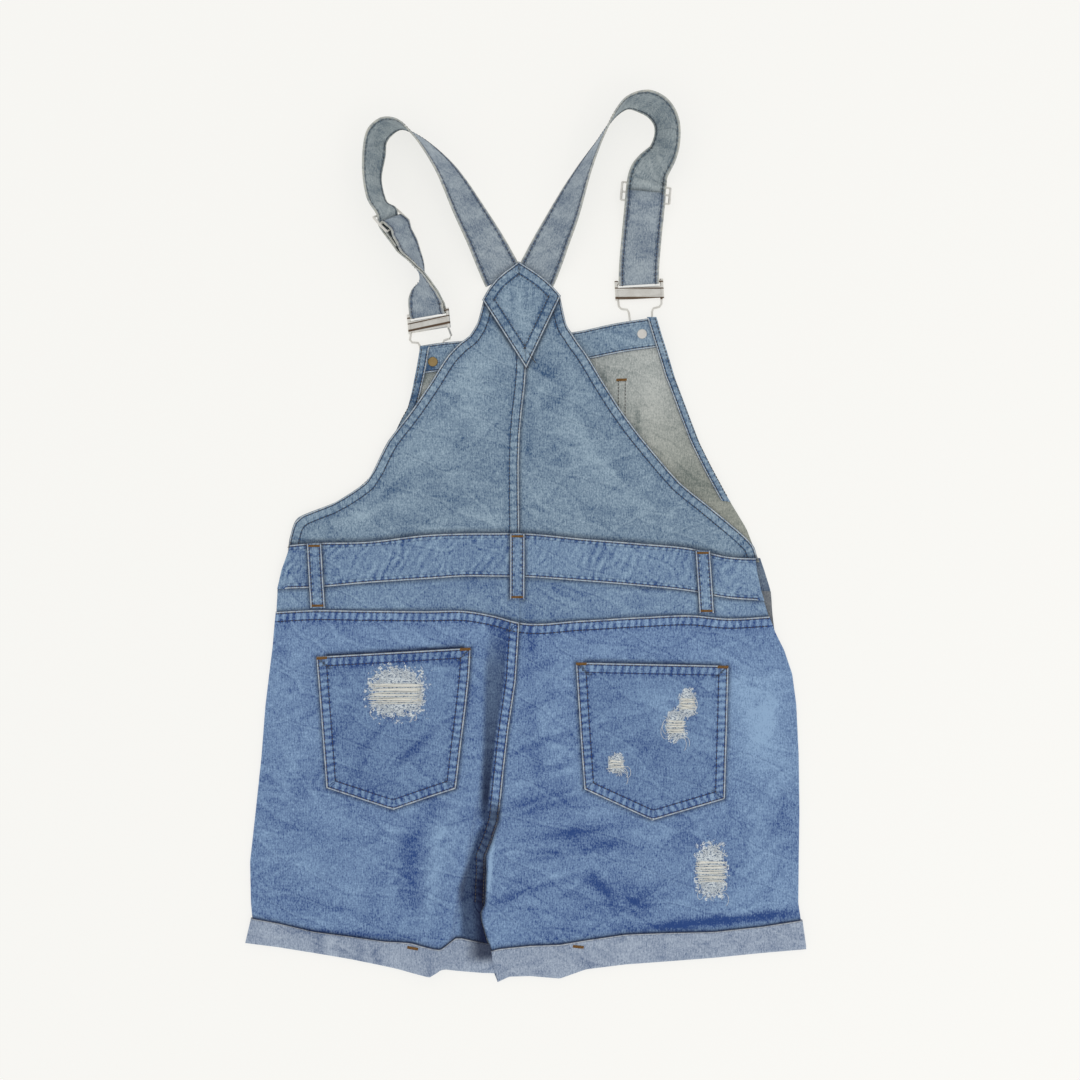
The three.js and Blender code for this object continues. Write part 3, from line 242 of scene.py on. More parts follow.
RIDGE = table(
    "y crest height",
    [-66, -50, 0],
    [-150, -44, 0.4],
    [-209, -43, 5],
    [-240, -47.5, 7.5],
    [-280, -55, 10],
    [-320, -62, 11],
    [-345, -68, 11],
    [-374, -72.5, 10.5],
    [-390, -81, 10],
    [-415, -84, 9.5],
)
RIDGE_GENTLE, RIDGE_STEEP, RIDGE_SHARED = 45.0, 9.0, 0.85
crest_line = reader(RIDGE, "y", "crest")
crest_height = reader(RIDGE, "y", "height")

CREASES = table(
    "x0 y0 x1 y1 depth width",
    [10, -268, 118, -290, -0.8, 15],
    [62, -318, 122, -358, -0.9, 14],
    [-10, -345, 62, -305, 0.8, 17],
    [150, -310, 236, -262, -0.8, 17],
    [176, -350, 240, -318, 0.7, 15],
    [214, -196, 246, -128, 0.7, 15],
    [22, -120, 30, -215, 0.7, 14],
    [-232, -318, -140, -338, 0.8, 17],
    [-214, -276, -128, -292, -0.7, 15],
    [-112, -282, -100, -368, -0.8, 14],
    [-228, -120, -222, -230, 0.7, 15],
    [-180, 60, -60, 92, 0.6, 15],
    [30, 128, 96, 44, 0.6, 15],
    [-66, 20, -24, 118, -0.2, 14],
)

# Finer creases than the model's, in the same columns.
WRINKLES = table(
    "x0 y0 x1 y1 depth width",
    [60, -312, 90, -352, -0.9, 5],
    [90, -352, 132, -322, -0.8, 5],
    [64, -306, 96, -346, 0.7, 5],
    [20, -276, 120, -296, -0.6, 6],
    [-6, -330, 50, -298, 0.8, 7],
    [0, -352, 70, -322, -0.6, 6],
    [140, -312, 210, -280, 0.6, 7],
    [152, -330, 214, -300, -0.6, 6],
    [186, -366, 246, -336, 0.7, 7],
    [110, -366, 150, -340, 0.5, 6],
    [206, -216, 240, -150, 0.6, 7],
    [214, -250, 250, -206, -0.5, 6],
    [200, -110, 216, -180, 0.4, 6],
    [12, -110, 18, -180, 0.6, 6],
    [30, -196, 40, -262, -0.5, 6],
    [6, -150, 14, -240, -0.4, 5],
    [-30, -120, -34, -220, 0.5, 6],
    [-42, -100, -40, -170, -0.4, 5],
    [-80, -262, -90, -360, 0.8, 6],
    [-100, -270, -112, -356, -0.6, 6],
    [-122, -284, -132, -362, 0.5, 7],
    [-60, -220, -72, -300, 0.5, 6],
    [-240, -300, -170, -316, 0.5, 6],
    [-236, -340, -160, -352, -0.5, 6],
    [-210, -258, -140, -276, 0.5, 7],
    [-220, -90, -214, -170, 0.5, 6],
    [-238, -200, -206, -244, -0.5, 6],
    [-150, 44, -70, 70, -0.4, 6],
    [-170, 26, -80, 40, 0.4, 7],
    [-110, 96, -52, 120, 0.4, 6],
    [-60, 140, -26, 176, 0.4, 5],
    [40, 120, 80, 74, 0.5, 6],
    [60, 96, 120, 40, -0.4, 6],
    [30, 60, 110, 20, 0.4, 7],
    [100, 46, 170, 20, -0.4, 6],
    [20, 170, 44, 128, -0.4, 5],
)


def lines_of(rows, x, y):
    """The sum over a table of creases of depth · ends · exp(−(across / width)²), where ends fades
    in and out along each crease."""
    height = np.zeros(np.broadcast(x, y).shape)
    for x0, y0, x1, y1, depth, width in zip(*rows.values()):
        run_x, run_y = x1 - x0, y1 - y0
        length = np.hypot(run_x, run_y)
        share = ((x - x0) * run_x + (y - y0) * run_y) / length**2
        across = ((x - x0) * run_y - (y - y0) * run_x) / length
        ends = smooth(-0.15, 0.3, share) * fall(0.7, 1.15, share)
        height = height + depth * ends * np.exp(-((across / width) ** 2))
    return height


def ridge(x, y):
    """The long fold in the left leg: smooth up to its crest over RIDGE_GENTLE, and down from it
    over RIDGE_STEEP."""
    crest = crest_line(y)
    rise = smooth(crest - RIDGE_GENTLE, crest, x)
    drop = fall(crest, crest + RIDGE_STEEP, x)
    return crest_height(y) * np.where(x < crest, rise, drop)


# The pieces laid on the back: the pockets, row by row from the top, the belt loops' two ends and
# the diamond patch's corners.
POCKETS = {
    "left": table("x0 y0 x1 y1", [-197.8, -110.3, -51.1, -101.9], [-196, -132, -52.5, -128],
                  [-193.6, -163, -56, -160], [-191, -197, -60.5, -196], [-188.2, -235, -65, -235]),
    "right": table("x0 y0 x1 y1", [47.9, -115.8, 192.9, -118.8], [49.5, -140, 192.3, -143],
                   [51.5, -172, 191.5, -176], [53.7, -204, 190.5, -210], [56, -236.2, 189.5, -245.4]),
}
POCKET_POINT = {"left": (-124.8, -255.7), "right": (120.5, -265.7)}
LOOPS = {
    "left": (-199.5, -3.4, -196.2, -64.3),
    "centre": (-7.1, 5.7, -7.3, -56.2),
    "right": (168.2, -10.1, 172.1, -69.2),
}
DIAMOND = {"top": (-5.8, 263.9), "left": (-40.5, 227.6), "right": (34, 231.5), "bottom": (1.3, 161.9)}

# Places where the blue has worn lighter (above 0) or stayed darker, and painted shade and
# highlight along folds and creases and painted shadows above the cuffs, as soft lines: the legs,
# the left pocket, the back bib, the diamond and the inside of the front bib.
WASH_AND_PAINTED_SHADE = table(
    "x0 y0 x1 y1 depth width",
    # The left leg beside its fold: painted shade and highlight in soft bands and thin lines.
    [-86, -232, -116, -312, -0.17, 9],
    [-100, -262, -168, -392, -0.12, 13],
    [-112, -300, -128, -392, -0.06, 8],
    [-76, -262, -98, -378, 0.14, 8],
    [-70, -268, -90, -312, -0.2, 3],
    [-80, -320, -112, -352, -0.22, 3.5],
    [-225, -94, -60, -92, 0.08, 10],
    [-250, -300, -190, -345, -0.06, 30],
    [-160, -202, -124, -164, -0.2, 4],
    [-126, -216, -88, -184, -0.24, 5],
    [-186, -196, -160, -160, -0.14, 6],
    [-120, -210, -80, -174, -0.14, 4],
    [-166, -231, -148, -200, -0.15, 5],
    [-196, -118, -58, -109, -0.15, 6],
    [-10, -130, 30, -114, -0.2, 4],
    [-10, -165, 45, -140, -0.15, 4],
    [-10, -201, 56, -180, -0.26, 4],
    [-20, -250, 30, -247, -0.2, 4],
    [-30, -268, 60, -240, -0.26, 5],
    [-20, -286, 110, -268, -0.18, 4],
    [-10, -306, 100, -285, -0.22, 4],
    [-40, -348, 74, -313, -0.2, 5],
    [44, -310, 144, -358, -0.13, 6],
    [-20, -334, 60, -300, -0.22, 8],
    [-10, -378, 110, -366, -0.12, 7],
    [-20, -330, 150, -350, -0.05, 28],
    [15, -130, 46, -122, 0.12, 5],
    [20, -226, 60, -214, 0.14, 6],
    [20, -272, 90, -254, 0.12, 4],
    [222, -300, 250, -250, -0.15, 5],
    [226, -352, 246, -290, -0.15, 5],
    [206, -105, 240, -245, 0.3, 26],
    [218, -240, 238, -345, 0.16, 16],
    [20, -100, 8, -230, -0.1, 16],
    [120, -130, 165, -200, 0.12, 22],
    [150, -55, 215, -55, 0.14, 12],
    [-60, 112, -38, 184, 0.16, 12],
    [5, 136, 3, 60, -0.18, 3.5],
    [8, 172, 30, 150, -0.22, 8],
    [10, 120, 42, 141, -0.18, 4],
    [8, 135, 32, 156, 0.2, 4],
    [-150, 30, -108, 56, -0.18, 5],
    [-96, 46, -40, 30, -0.12, 4],
    [-62, 25, -18, 17, 0.14, 5],
    [-172, 14, -128, 36, 0.12, 5],
    [-120, 70, -80, 60, -0.1, 5],
    [60, 31, 112, 24, -0.13, 4],
    [88, 46, 122, 30, 0.12, 6],
    [70, 90, 50, 130, -0.12, 6],
    [10, 200, 23, 236, -0.3, 5],
    [-30, 226, -14, 200, -0.14, 4],
    [-13, 238, -12, 214, -0.2, 1.6],
    [-6, 240, -5, 212, 0.16, 1.6],
    [-5, 262, 0, 168, 0.12, 26],
    [1, 240, 1, 214, -0.2, 1.6],
    [8, 238, 6, 216, -0.16, 1.6],
    [-49, 188, -38, 226, -0.34, 4],
    [31, 196, 27, 234, -0.3, 4],
    [107, 126, 107, 98, -0.5, 2.5],
    [72, 162, 78, 148, -0.45, 3],
    [120, 152, 126, 98, 0.2, 10],
    [140, 72, 182, 40, -0.3, 12],
    [-102, 146, -84, 168, -0.5, 5],
    [-110, 128, -100, 142, -0.4, 4],
    [-28, -250, -35.4, -342, 0.9, 1.6],
    [-20, -72, -22, -114, -0.25, 9],
    [3, -62, 8, -112, -0.28, 5],
    [-62, -40, -24, -44, -0.12, 8],
    [4, -44, 62, -52, -0.14, 7],
    [-12, -92, -14, -120, 0.3, 3],
    # Thin painted highlights and painted shade along the legs' creases.
    [-22, -238, 62, -212, 0.13, 2.6],
    [-28, -262, 64, -234, 0.12, 2.4],
    [-20, -298, 96, -277, 0.12, 2.6],
    [-26, -338, 58, -310, 0.13, 2.6],
    [-32, -341, 50, -317, -0.2, 2.6],
    [-24, -302, 70, -282, -0.16, 2.6],
    [-26, -259, 50, -234, -0.18, 2.6],
    [60, -324, 110, -346, -0.14, 2.6],
    [70, -322, 128, -346, 0.1, 2.6],
    [-8, -192, 54, -172, 0.12, 2.6],
    [-66, -246, -86, -300, 0.12, 2.6],
    [-94, -330, -132, -384, 0.1, 2.8],
    [-156, -194, -122, -158, 0.1, 2.6],
    [-120, -222, -86, -192, 0.1, 2.6],
    [-240, -170, -205, -150, -0.08, 5],
    [-235, -260, -180, -290, -0.07, 5],
    [-230, -320, -170, -340, -0.07, 5],
    # The cuffs' folds in painted shade and highlight, and painted shadows along the cuffs' tops.
    [-196, -372, -194, -402, -0.3, 5],
    [-184, -374, -182, -400, 0.2, 4],
    [-158, -378, -155, -406, -0.2, 4],
    [-142, -380, -139, -408, -0.3, 4],
    [-124, -384, -120, -410, 0.2, 5],
    [-92, -388, -88, -412, -0.2, 4],
    [96, -370, 268, -352, -0.7, 4.5],
    [-240, -368, -100, -378, -0.35, 3],
    [-252, -362, -232, -386, 0.12, 8],
    [20, -386, 34, -418, 0.12, 6],
    [56, -382, 60, -412, -0.25, 5],
    [92, -380, 96, -408, 0.12, 6],
    [128, -376, 130, -402, -0.15, 5],
    [232, -366, 236, -394, -0.15, 5],
)

# The rips: the middle of each and half its width and height.
RIPS = table(
    "x y wide high",
    [-121.4, -144, 26.5, 24],
    [153.8, -154.5, 8, 13.5],
    [142.7, -175.5, 9, 15],
    [86.5, -211.5, 7.6, 10],
    [176.3, -312.8, 14.4, 26],
)

BUTTONS = {"left": (-87.0, 168.4), "right": (110.7, 194.7)}


def corner_lift(x, y, lift=4.6, flat=24.0, end=60.0):
    """How far the bib is raised round each button: lift inside flat, nothing past end."""
    lifts = [fall(flat, end, np.hypot(x - bx, y - by)) for bx, by in BUTTONS.values()]
    return lift * np.maximum(*lifts)


def unevenness(x, y):
    """Small lumps of washed cloth, three sizes of noise and the fine creases."""
    broad = noise(x / 38 + 7, y / 52 + 3, 1) - 0.5
    slanted = noise((x - 0.6 * y) / 17 + 11, (y + 0.4 * x) / 34 + 5, 2) - 0.5
    small = noise(x / 7 + 2, y / 9 + 9, 3) - 0.5
    return 0.7 * broad + 0.6 * slanted + 0.22 * small + lines_of(WRINKLES, x, y)


def hem_lift(side, x, y):
    """1 under a cuff and 0 above it, over HEM_RISE."""
    top = reader(CUFFS[side], "x", "top")(x)
    return fall(top, top + HEM_RISE, y)


def back_base(x, y, hem=0.0):
    """The under face of the back's lowest layer: a level, with the creases, the ridge, the
    front bib's band and buttons under it, and lower at the bib's tip."""
    tip = 4.1 * smooth(200, 232, y)
    band = 1.7 * smooth(10, 28, y)
    creased = (1 - hem) * (lines_of(CREASES, x, y) + 0.8 * unevenness(x, y))
    raised = band + ridge(x, y) + corner_lift(x, y, 5.0, 38.0, 84.0) + HEM_BACK_LIFT * hem
    return BACK_LEVEL + creased + raised - tip


# Meshes.
def spaced(length, cell=CELL, start=EDGE_STEPS, end=EDGE_STEPS):
    """Shares from 0 to 1 of a length in mm: even steps of about a cell, with given places near
    each end."""
    steps = np.linspace(0, length, max(2, int(round(length / cell))) + 1)
    start, end = np.array(start), length - np.array(end)
    low = start.max() + cell / 3 if start.size else 0.0
    high = end.min() - cell / 3 if end.size else length
    inside = steps[(steps > low) & (steps < high)]
    return np.concatenate([[0], start, inside, end[::-1], [length]]) / length


def seam_field(x, y, seams):
    """For each point, the distance to the nearest of some lines, and how far along it."""
    best = np.full(x.shape, 1e6)
    along = np.zeros(x.shape)
    travelled = 0.0
    for line in seams:
        for (ax, ay), (bx, by) in zip(line[:-1], line[1:]):
            run_x, run_y = bx - ax, by - ay
            length = max(np.hypot(run_x, run_y), 1e-6)
            t = np.clip(((x - ax) * run_x + (y - ay) * run_y) / length**2, 0, 1)
            away = np.hypot(x - ax - t * run_x, y - ay - t * run_y)
            nearer = away < best
            best = np.where(nearer, away, best)
            along = np.where(nearer, travelled + t * length, along)
            travelled += length
    return np.minimum(best, 60.0), along


def new_object(name, points, faces, material):
    """A smooth mesh object from an array of points in mm and a list of faces."""
    mesh = bpy.data.meshes.new(name)
    mesh.from_pydata((points.reshape(-1, 3) * MM).tolist(), [], faces)
    mesh.materials.append(material)
    mesh.shade_smooth()
    thing = bpy.data.objects.new(name, mesh)
    bpy.context.scene.collection.objects.link(thing)
    return thing


def cloth_object(name, points, faces, material):
    """A closed piece of cloth, sharp at its cut edges."""
    thing = new_object(name, points, turned_out(points, faces).tolist(), material)
    thing.data.set_sharp_from_angle(angle=np.radians(SHARP_TURN))
    return thing


def thread_object(name, points, faces, material):
    """A mesh of threads, which goes with the cloth that it is sewn to."""
    thing = new_object(name, points, faces, material)
    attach(thing, "root")
    return thing


def attribute(thing, name, values):
    """One number for each point, for the materials to read."""
    layer = thing.data.attributes.new(name, "FLOAT", "POINT")
    layer.data.foreach_set("value", np.ascontiguousarray(values, np.float32).ravel())


def cloth_place(thing, u, v):
    """The cloth's own two coordinates in mm, as a point vector for the materials."""
    layer = thing.data.attributes.new("cloth", "FLOAT_VECTOR", "POINT")
    triples = np.stack([u, v, np.zeros_like(u)], -1).astype(np.float32)
    layer.data.foreach_set("vector", triples.ravel())


def grid_faces(rows, columns, start=0):
    """The quads of a grid of points that are numbered row by row."""
    r, c = np.meshgrid(np.arange(rows - 1), np.arange(columns - 1), indexing="ij")
    a = start + r * columns + c
    return np.stack([a, a + 1, a + columns + 1, a + columns], -1).reshape(-1, 4)


def shell_faces(rows, columns):
    """Two grids of points, outer then inner, closed along their four sides."""
    under = rows * columns
    ring = np.concatenate([
        np.arange(columns),
        np.arange(1, rows) * columns + columns - 1,
        (rows - 1) * columns + np.arange(columns - 2, -1, -1),
        np.arange(rows - 2, 0, -1) * columns,
    ])
    following = np.roll(ring, -1)
    sides = np.stack([following, ring, ring + under, following + under], -1)
    below = grid_faces(rows, columns, under)[:, ::-1]
    return np.concatenate([grid_faces(rows, columns), below, sides])


def turned_out(points, faces):
    """Faces in the order in which they face out of the closed shape."""
    a, b, c = (points[faces[:, k]] for k in (0, 1, 2))
    d = points[faces[:, 3]] if faces.shape[1] == 4 else a
    volume = (a * np.cross(b, c)).sum() + (a * np.cross(c, d)).sum()
    return faces if volume > 0 else faces[:, ::-1]


# How far from the edges with less than two rows of stitches their seam shows, and the distance
# that stands for no seam.
SEAM_REACH = {"one row": 4.5, "plain": 1.6}
NO_SEAM = 30


def shell(name, outer, inner, material, seams=(), outer_wrong=0.0, inner_wrong=1.0, dark=None,
          edges="two rows", ripples=None):
    """A closed piece of cloth between two grids of points, with the fields that its material
    reads: its own place, the distance to its seams and along them, which side is wrong, how dark
    it is in painted shadow, how much lighter or darker it is from wear and from painted shade and
    highlight, and where it is torn. dark and ripples are functions of the place, and edges is the
    number of rows that the seams are sewn with."""
    rows, columns = outer.shape[:2]
    points = np.concatenate([outer.reshape(-1, 3), inner.reshape(-1, 3)])
    x, y = points[:, 0], points[:, 1]
    thing = cloth_object(name, points, shell_faces(rows, columns), material)
    distance, along = seam_field(x, y, seams)
    if edges != "two rows":
        distance = np.where(distance < SEAM_REACH[edges], distance, NO_SEAM)
    attribute(thing, "seam", distance)
    attribute(thing, "along", along)
    attribute(thing, "wrong", np.repeat([outer_wrong, inner_wrong], rows * columns))
    attribute(thing, "shade", dark(x, y) if dark else np.zeros(len(points)))
    # How much lighter or darker the cloth is, from wear and from painted shade and highlight.
    worn = wear_and_painted_shade(x, y)
    attribute(thing, "high", worn + ripples(x, y) if ripples else worn)
    attribute(thing, "torn", torn_places(x, y))
    cloth_place(thing, x, y)
    return thing


# Where the painted shade of the hollow beside the left leg's fold begins.
HOLLOW = table(
    "y start",
    [-88, -34],
    [-120, -38],
    [-200, -40],
    [-240, -42],
    [-262, -42],
    [-268, -39.3],
    [-278, -45],
    [-307, -54.2],
    [-328, -62.3],
    [-345, -61.2],
    [-368, -60],
    [-384, -60],
)
hollow_line = reader(HOLLOW, "y", "start")


# Below this height the hollow is all dark, and above it the strip grows lighter.
CROTCH_Y = -262


def trough(x, y):
    """How deep the painted shade is in the hollow beside the left leg's fold: a strip beside the
    centre seam that grows darker down to the crotch, and below it the whole hollow."""
    strip = smooth(-3, 4, x - hollow_line(y)) * fall(-13, -9, x - left_inner(y))
    strip = strip * np.interp(y, [-250, -200, -120, -88], [0.95, 0.75, 0.5, 0.1])
    deep = (0.7 + 0.3 * smooth(8, 20, x - hollow_line(y))) * smooth(-4, 3, x - hollow_line(y))
    return np.where(y < CROTCH_Y, deep, mix(strip, deep, smooth(-240, CROTCH_Y, y)))


def wear_and_painted_shade(x, y):
    """How much lighter or darker the cloth is, partly wear and partly painted shade and highlight:
    lighter where it stands up in the creases and darker in their hollows, and at the places of the
    table of washes and painted shade.
    """
    return 0.22 * lines_of(WRINKLES, x, y) + 0.16 * lines_of(CREASES, x, y) + lines_of(WASH_AND_PAINTED_SHADE, x, y)


def torn_places(x, y):
    """1 in the middle of a rip and 0 outside it: 1.5 − (|dx / wide|³ + |dy / high|³)^(1/3)."""
    torn = np.zeros(np.broadcast(x, y).shape)
    for middle_x, middle_y, wide, high in zip(*RIPS.values()):
        away = (np.abs((x - middle_x) / wide) ** 3 + np.abs((y - middle_y) / high) ** 3) ** (1 / 3)
        torn = np.maximum(torn, np.clip(1.5 - away, 0, 1))
    return torn


def shadow(*parts):
    """How dark the cloth is close to lines where another piece lies over it. Each part has its
    line, its strength and its reach."""
    def at(x, y):
        near = [strength * fall(0.3, reach, seam_field(x, y, [line])[0])
                for line, strength, reach in parts]
        return np.maximum.reduce(near)

    return at


def drawn(height, start, end, count=70):
    """A line of points at a height function from one x to another."""
    x = np.linspace(start, end, count)
    return np.column_stack([x, height(x)])


def pocket_line(side):
    """A pocket's outline from its top left corner round its point to its top right corner."""
    lines = POCKETS[side]
    left, right = (np.column_stack([lines["x" + k], lines["y" + k]]) for k in "01")
    return np.vstack([left, [POCKET_POINT[side]], right[::-1]])


# How wide the rounding of a cut edge is.
EDGE_ROUND = 0.9


def rounded(x, y, thick):
    """How much of its thickness a piece has at each point of a grid: less in the last EDGE_ROUND
    before its edge, as a quarter circle."""
    def travel(axis):
        step = np.hypot(np.diff(x, axis=axis), np.diff(y, axis=axis))
        pad = [(1, 0), (0, 0)] if axis == 0 else [(0, 0), (1, 0)]
        run = np.pad(np.cumsum(step, axis=axis), pad)
        total = np.take(run, [-1], axis=axis)
        return np.minimum(run, total - run)

    away = np.minimum(travel(0), travel(1))
    return thick * mix(0.45, 1.0, np.sqrt(1 - (1 - np.clip(away / EDGE_ROUND, 0, 1)) ** 2))


def relief(distance):
    """A sewn seam stands up between its two stitch rows, which pull it down: in mm over the
    plain cloth at a distance from the seam's edge."""
    band = 0.35 * fall(9.6, 11.5, distance)
    near, far = (np.exp(-(((distance - row) / 0.8) ** 2)) for row in TWIN_ROWS)
    return band - 0.3 * (near + far)


def laid(name, x, y, under, material, seams=(), thick=CLOTH, **facts):
    """A piece whose two faces follow the height function under, one above the other."""
    low = under(x, y) + np.zeros(x.shape)
    high = low + rounded(x, y, thick)
    if seams:
        high = high + relief(seam_field(x, y, seams)[0])
    outer = np.stack([x, y, high], -1)
    return shell(name, outer, np.stack([x, y, low], -1), material, seams, **facts)


# Materials.
def srgb(red, green, blue):
    """A colour given from 0 to 255, made linear."""
    values = np.array([red, green, blue]) / 255
    linear = np.where(values <= 0.04045, values / 12.92, ((values + 0.055) / 1.055) ** 2.4)
    return (*linear.tolist(), 1.0)


class Nodes:
    """Short ways to add nodes to a tree. A number given for a socket is set on it."""

    def __init__(self, tree):
        self.tree = tree

    def add(self, kind, inputs=None, **settings):
        node = self.tree.nodes.new(kind)
        for key, value in settings.items():
            setattr(node, key, value)
        for key, value in (inputs or {}).items():
            self.join(node.inputs[key], value)
        return node

    def join(self, socket, value):
        if isinstance(value, bpy.types.NodeSocket):
            self.tree.links.new(value, socket)
        else:
            socket.default_value = value

    def math(self, operation, a, b=0.0, c=0.0, clamp=False):
        node = self.add("ShaderNodeMath", operation=operation, use_clamp=clamp)
        for socket, value in zip(node.inputs, (a, b, c)):
            self.join(socket, value)
        return node.outputs[0]

    def noise(self, vector, scale, detail=3.0, stretch=(1, 1, 1), rough=0.55, turn=0.0):
        """Noise from −0.5 to 0.5, on a vector that is turned and then stretched."""
        if turn:
            turned = {"Vector": vector, "Rotation": (0, 0, turn)}
            vector = self.add("ShaderNodeMapping", turned).outputs[0]
        grown = self.add("ShaderNodeMapping", {"Vector": vector, "Scale": stretch})
        values = {"Vector": grown.outputs[0], "Scale": scale, "Detail": detail, "Roughness": rough}
        texture = self.add("ShaderNodeTexNoise", values)
        return self.math("SUBTRACT", texture.outputs["Fac"], 0.5)

    def step(self, value, low, high):
        """0 below low, 1 above high: t²(3 − 2t) between them."""
        values = {"Value": value, "From Min": low, "From Max": high}
        node = self.add("ShaderNodeMapRange", values, interpolation_type="SMOOTHSTEP")
        return node.outputs[0]

    def until(self, value, low, high):
        """1 below low, 0 above high: 1 − step."""
        return self.math("SUBTRACT", 1.0, self.step(value, low, high))

    def clamp(self, value):
        """The value kept between 0 and 1."""
        return self.math("ADD", value, 0.0, clamp=True)

    def total(self, first, parts):
        """first and the sum of value · weight over the parts."""
        for value, weight in parts:
            first = self.math("MULTIPLY_ADD", value, weight, first)
        return first

    def crease(self, vector, scale, stretch, turn, sharp):
        """Crease lines, light on one side and dark on the other, as painted light and shade and as
        bumps: noise · (1 − step(|noise|)) · 3 / sharp."""
        value = self.noise(vector, scale, 2.0, stretch, 0.45, turn)
        close = self.until(self.math("ABSOLUTE", value), 0.0, sharp)
        return self.math("MULTIPLY", self.math("MULTIPLY", value, close), 3.0 / sharp)

    def mix(self, share, a, b, blend="MIX"):
        node = self.add("ShaderNodeMix", data_type="RGBA", blend_type=blend)
        self.join(node.inputs["Factor"], share)
        self.join(node.inputs[6], a)
        self.join(node.inputs[7], b)
        return node.outputs[2]

    def attribute(self, name, output="Fac"):
        return self.add("ShaderNodeAttribute", attribute_name=name).outputs[output]


def denim_group():
    """Washed denim: its colour from grain, slubs, blotches and wash, with painted light and shade
    along creases, its seams with puckers, worn edges and painted shade, and its height in mm."""
    tree = bpy.data.node_groups.new("denim", "ShaderNodeTree")
    sockets = [("Place", "NodeSocketVector"), ("Seam", "NodeSocketFloat"), ("Along", "NodeSocketFloat"),
               ("WashAndShade", "NodeSocketFloat"), ("Dark", "NodeSocketColor"), ("Light", "NodeSocketColor"),
               ("Worn", "NodeSocketColor"), ("Pucker", "NodeSocketFloat")]
    for name, kind in sockets:
        tree.interface.new_socket(name=name, in_out="INPUT", socket_type=kind)
    for name, kind in (("Color", "NodeSocketColor"), ("Height", "NodeSocketFloat")):
        tree.interface.new_socket(name=name, in_out="OUTPUT", socket_type=kind)
    n = Nodes(tree)
    given = n.add("NodeGroupInput").outputs
    place, seam, along = given["Place"], given["Seam"], given["Along"]

    # The cloth's own light and dark, in even and in long grains and blotches, and painted light and
    # shade along crease lines.
    grain = n.noise(place, 0.62, 2.0, (1.2, 0.8, 1), 0.75)
    slub = n.noise(place, 0.75, 2.0, (1, 0.2, 1), 0.6)
    crosswise = n.noise(place, 0.6, 2.0, (0.07, 1, 1), 0.6)
    mottle = n.noise(place, 0.17, 4.0, (1, 0.8, 1), 0.62)
    wash = n.noise(place, 0.03, 3.0, (1, 0.75, 1), 0.5)
    rising = n.crease(place, 0.022, (0.4, 1.5, 1), 0.4, 0.045)
    falling = n.crease(place, 0.016, (0.5, 1.4, 1), -0.5, 0.04)
    weights = ((grain, 1.7), (slub, 1.0), (crosswise, 0.25), (mottle, 0.4), (wash, 0.45),
               (rising, 0.15), (falling, 0.1))
    level = n.total(n.math("ADD", 0.5, given["WashAndShade"]), weights)

    # By the distance from the edge in mm: slanted puckers along a sewn seam, its two dark rows,
    # partly the thread's colour and partly painted shade where the stitches sink in, and a slight
    # shade just past it.
    band = n.until(seam, 9.8, 12.5)
    wobble = n.noise(place, 0.12, 1.0)
    turn = n.math("MULTIPLY_ADD", along, 0.95, n.math("MULTIPLY", wobble, 4.5))
    rope = n.math("SINE", n.math("MULTIPLY_ADD", seam, 0.12, turn))
    pucker = n.math("MULTIPLY", n.math("MULTIPLY", band, rope), given["Pucker"])
    away = [n.math("ABSOLUTE", n.math("SUBTRACT", seam, row)) for row in TWIN_ROWS]
    sunk = n.math("ADD", *(n.until(distance, 0.25, 1.0) for distance in away))
    beyond = n.math("MULTIPLY", n.step(seam, 9.6, 10.4), n.until(seam, 11.0, 16.0))
    level = n.total(level, ((pucker, 0.28), (sunk, -0.65), (beyond, -0.12)))
    denim = n.mix(n.clamp(level), given["Dark"], given["Light"])

    # The edge is worn pale in places, with a painted shadow line at its very rim.
    uneven = n.math("MULTIPLY_ADD", mottle, 2.0, n.math("MULTIPLY_ADD", grain, 1.2, 0.72))
    edge = n.math("MULTIPLY", n.until(seam, 0.9, 1.9), uneven)
    colour = n.mix(n.clamp(edge), denim, given["Worn"])
    rim = n.math("MULTIPLY", n.until(seam, 0.2, 0.7), 0.75)
    colour = n.mix(rim, colour, srgb(26, 40, 74))

    # The height, with the twill's slanted lines.
    diagonal = n.add("ShaderNodeSeparateXYZ", {"Vector": place})
    slanted = n.math("ADD", diagonal.outputs[0], diagonal.outputs[1])
    twill = n.math("SINE", n.math("MULTIPLY", slanted, 7.0))
    heights = ((slub, 0.25), (twill, 0.03), (mottle, 0.5), (pucker, 0.45), (sunk, -0.25),
               (rising, 0.3), (falling, 0.25))
    height = n.total(n.math("MULTIPLY", grain, 0.5), heights)
    n.add("NodeGroupOutput", {"Color": colour, "Height": height})
    return tree


DENIM = denim_group()


def blank(name):
    """A new material, the helper for its nodes and its shader."""
    material = bpy.data.materials.new(name)
    material.use_nodes = True
    tree = material.node_tree
    return material, Nodes(tree), tree.nodes["Principled BSDF"]


